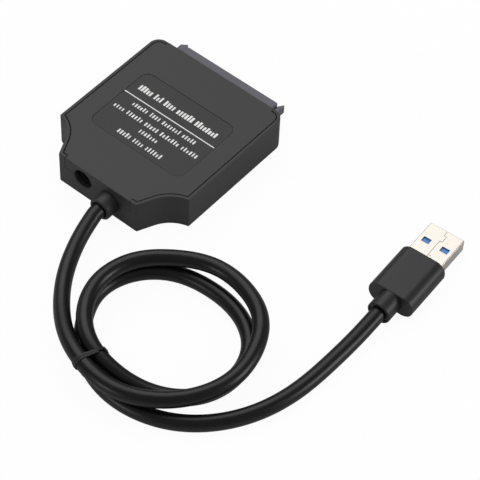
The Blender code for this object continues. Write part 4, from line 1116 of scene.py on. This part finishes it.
knot_at = np.interp(math.radians(TIE_KNOT), turn, reached)
from_knot = marks - knot_at
from_knot -= reached[-1] * (from_knot > reached[-1] / 2)
WIDTH_MARKS = np.array([-9, -4, -1.4, -0.6, 0, 0.5, 1.5, 4, 6.5, 9]) * MM
WIDTHS = np.array([1.7, 1.9, 2.0, 1.3, 0.8, 1.0, 1.45, 1.6, 2.0, 2.2]) * MM
tie_width = np.interp(from_knot, WIDTH_MARKS, WIDTHS)
tie_turn = 2 * np.pi * np.clip(from_knot / TWIST_LENGTH + 0.5, 0, 1)
lift = KNOT_LIFT * np.exp(-(from_knot / KNOT_LENGTH) ** 2)
way = unit(np.roll(band_line, -1, axis=0) - np.roll(band_line, 1, axis=0))
normal = np.column_stack([way[:, 1], -way[:, 0]])
outward = normal[:, :1] * tie_across + normal[:, 1:] * UPWARDS
raised_line = band_line + lift[:, None] * normal
tie_line = TIE_CENTRE + raised_line[:, :1] * tie_across + raised_line[:, 1:] * UPWARDS
sideways = np.broadcast_to(tie_along, tie_line.shape)
tie_rows = strip_rows(tie_line, sideways, outward, tie_width, tie_turn)
tie_skin = Skin()
tie_skin.stack(np.concatenate([tie_rows, tie_rows[:1]]))
tie_band = build("tie_band", tie_skin)
shade(tie_band, weighted=False)
tie_black = moulded_plastic("tie_film_skin", (0.014, 0.014, 0.015), 0.42, 0.12 * MM, 0.006 * MM, 0.1)
dress(tie_band, tie_black, "tie_film", "twist_tie")
print("tie faces", len(tie_band.data.polygons))

# %% [markdown]
# The strip's two ends are twisted together under the inner strand, out of sight from the front. They are
# the same strip again, narrower and turned many times along a short bent line that starts inside the band.

# %% Twisted ends of the tie
TAIL_WIDTH = 0.95 * MM
TAIL_TURNS = 3.0
TAIL_TAPER = 0.4 * MM
TAIL_TIP = 0.15

inner = strands[np.argmax(strands[:, 0])]
tail_knots = np.array([
    (2.1, 0.0, -1.9), (1.9, 0.5, -2.9), (1.6, 1.4, -3.7), (1.5, 2.6, -4.3), (1.6, 3.9, -4.9)]) * MM
tail_knots = (
    TIE_CENTRE + (inner[0] + tail_knots[:, :1]) * tie_across + tail_knots[:, 1:2] * tie_along
    + (inner[1] + tail_knots[:, 2:]) * UPWARDS)
tail_line, tail_run = even_points(natural_cubic(tail_knots), 0.1 * MM)
heading = unit(np.gradient(tail_line, axis=0))
side = unit(np.cross(heading, tie_across))
tail_turn = 2 * np.pi * TAIL_TURNS * tail_run / tail_run[-1]
tail_width = TAIL_WIDTH * np.sqrt(np.clip((tail_run[-1] - tail_run) / TAIL_TAPER, TAIL_TIP, 1))
tail_rows = strip_rows(tail_line, side, np.cross(heading, side), tail_width, tail_turn)
tie_twist = build("tie_twist", closed(tail_rows))
shade(tie_twist, weighted=False)
dress(tie_twist, tie_black, "tie_film")
lowest = tail_line[:, 2].min()
print("twisted ends", round(tail_run[-1] * 1000, 2), "mm, lowest point", round(lowest * 1000, 2), "mm")

# %% [markdown]
# The solids that already have the right shape stay: the contacts, the blue tongue in the plug, the power
# socket and everything inside the box. Each gets the finish of its real material.

# %% Finishes of the kept solids
kept_finishes = {
    "circuit_board": mask_green, "bridge_chip": resin_black, "memory_chip": resin_black,
    "voltage_regulator": resin_black, "power_diode": resin_black, "power_inductor": ferrite_black,
    "clock_crystal": drawn_can, "input_capacitor": drawn_can, "output_capacitor": drawn_can,
    "dc_jack_body": resin_black, "dc_jack_pin": drawn_can, "dc_jack_spring": drawn_can,
    "inner_cable_end": boot_black, "usb_tongue": socket_blue}
kept_finishes.update({f"{colour}_lead": look for colour, look in wire_finishes.items()})
for name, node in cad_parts.items():
    if node.hide_render:
        continue
    look = gold_flash if "_contact_" in name else kept_finishes[name]
    node.data.materials.clear()
    node.data.materials.append(look)
print("kept solids", sum(not node.hide_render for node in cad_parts.values()))

# %% [markdown]

# %% [markdown]
# The set is a white sweep. The floor is a large disc whose shader is white to the camera and mostly keeps
# the object's soft shadow, and which is greyer to the light that bounces off it, so that black plastic
# keeps its depth. The world is white behind it all.

# %% Floor and world
FLOOR_SIZE = 4.0
floor_skin = Skin()
index = floor_skin.stack([lifted(arc((0, 0), FLOOR_SIZE, 0, 357, 119), -0.05 * MM)])
floor_skin.fill(index[0])
floor_mesh = bpy.data.meshes.new("floor")
floor_mesh.from_pydata(np.concatenate(floor_skin.points), [], floor_skin.faces)
floor = new_object("floor", floor_mesh)

PAPER_GLOW = 1.12        # what the camera sees of the floor, before the shadow's share is mixed in
PAPER_SEEN = 0.85        # how much of that glow the camera and glass see
PAPER_MIRRORED = 0.17    # and how much of it a glossy surface shows
ROOM = 0.62              # the light that comes from all sides
ROOM_MIRRORED = 0.18     # and how bright those sides are where a surface mirrors them


def who_sees(start):
    """Three sockets: 1 for a ray from the camera, from a glossy surface or through glass, and else 0."""
    return [
        start.node("ShaderNodeLightPath", output=f"Is {kind} Ray")
        for kind in ("Camera", "Glossy", "Transmission")]


paper = bpy.data.materials.new("sweep_paper")
paper.use_nodes = True
tree = paper.node_tree
tree.nodes.clear()
start = Wire(tree)
camera_sees, gloss_sees, glass_sees = who_sees(start)
matt = start.node("ShaderNodeBsdfDiffuse", None, {"Color": (0.3, 0.3, 0.302, 1.0)})
glow = start.node("ShaderNodeEmission", None, {"Strength": PAPER_GLOW})
share = (camera_sees + glass_sees) * PAPER_SEEN + gloss_sees * PAPER_MIRRORED
mixed = start.node("ShaderNodeMixShader", None, {0: share, 1: matt, 2: glow})
tree.links.new(mixed.socket, tree.nodes.new("ShaderNodeOutputMaterial").inputs["Surface"])
floor.data.materials.append(paper)

world = bpy.data.worlds.new("studio")
bpy.context.scene.world = world
world.use_nodes = True
sky = world.node_tree
sky.nodes.clear()
air = Wire(sky)
camera_sees, gloss_sees, glass_sees = who_sees(air)
strength = ROOM + (camera_sees + glass_sees) * (1 - ROOM) + gloss_sees * (ROOM_MIRRORED - ROOM)
room = air.node("ShaderNodeBackground", None, {"Color": (1.0, 1.0, 1.0, 1.0), "Strength": strength})
sky.links.new(room.socket, sky.nodes.new("ShaderNodeOutputWorld").inputs["Surface"])
print("floor", FLOOR_SIZE, "m, room", ROOM)

# %% [markdown]
# Three soft boxes light it. A large panel at the back, a little to the left, is what the flat top and the
# plug's shell mirror towards the camera, and it draws the broad light band along the cable. Two small ones
# stand low at the right and at the front left, and each draws a second, narrow band along a cable that
# runs square to it.

# %% Soft boxes
LOOK_AT = Vector((0.035, -0.02, 0.005))


def soft_box(name, direction, distance, size, radiance):
    """An area lamp: its power in watts is pi times its area times the brightness of its face."""
    lamp = bpy.data.lights.new(name, "AREA")
    lamp.shape = "RECTANGLE"
    lamp.size, lamp.size_y = size
    lamp.energy = math.pi * size[0] * size[1] * radiance
    holder = bpy.data.objects.new(name, lamp)
    bpy.context.scene.collection.objects.link(holder)
    way = Vector(direction).normalized()
    facing = way.to_track_quat("Z", "Y").to_matrix().to_4x4()
    holder.matrix_world = Matrix.Translation(LOOK_AT + way * distance) @ facing
    print(name, "gives", round(lamp.energy, 1), "watts")


away = Vector((forward.x, forward.y, 0)).normalized()


def towards(turn, rise):
    """A direction: turn in degrees to the right of straight away from the camera, and rise above level."""
    across, lift = math.radians(turn), math.radians(rise)
    level = away * math.cos(across) + level_right * math.sin(across)
    return level * math.cos(lift) + Vector((0, 0, math.sin(lift)))


soft_box("back_panel", towards(-20, 54), 1.4, (1.37, 1.2), 1.36)
soft_box("right_box", towards(100, 17), 1.2, (0.5, 0.5), 4.2)
soft_box("left_box", towards(-129, 15), 1.2, (0.3, 0.3), 4.2)

# %% [markdown]
# Last, the picture's colour handling is set to plain sRGB.

# %% Colour handling
bpy.context.scene.view_settings.view_transform = "Standard"
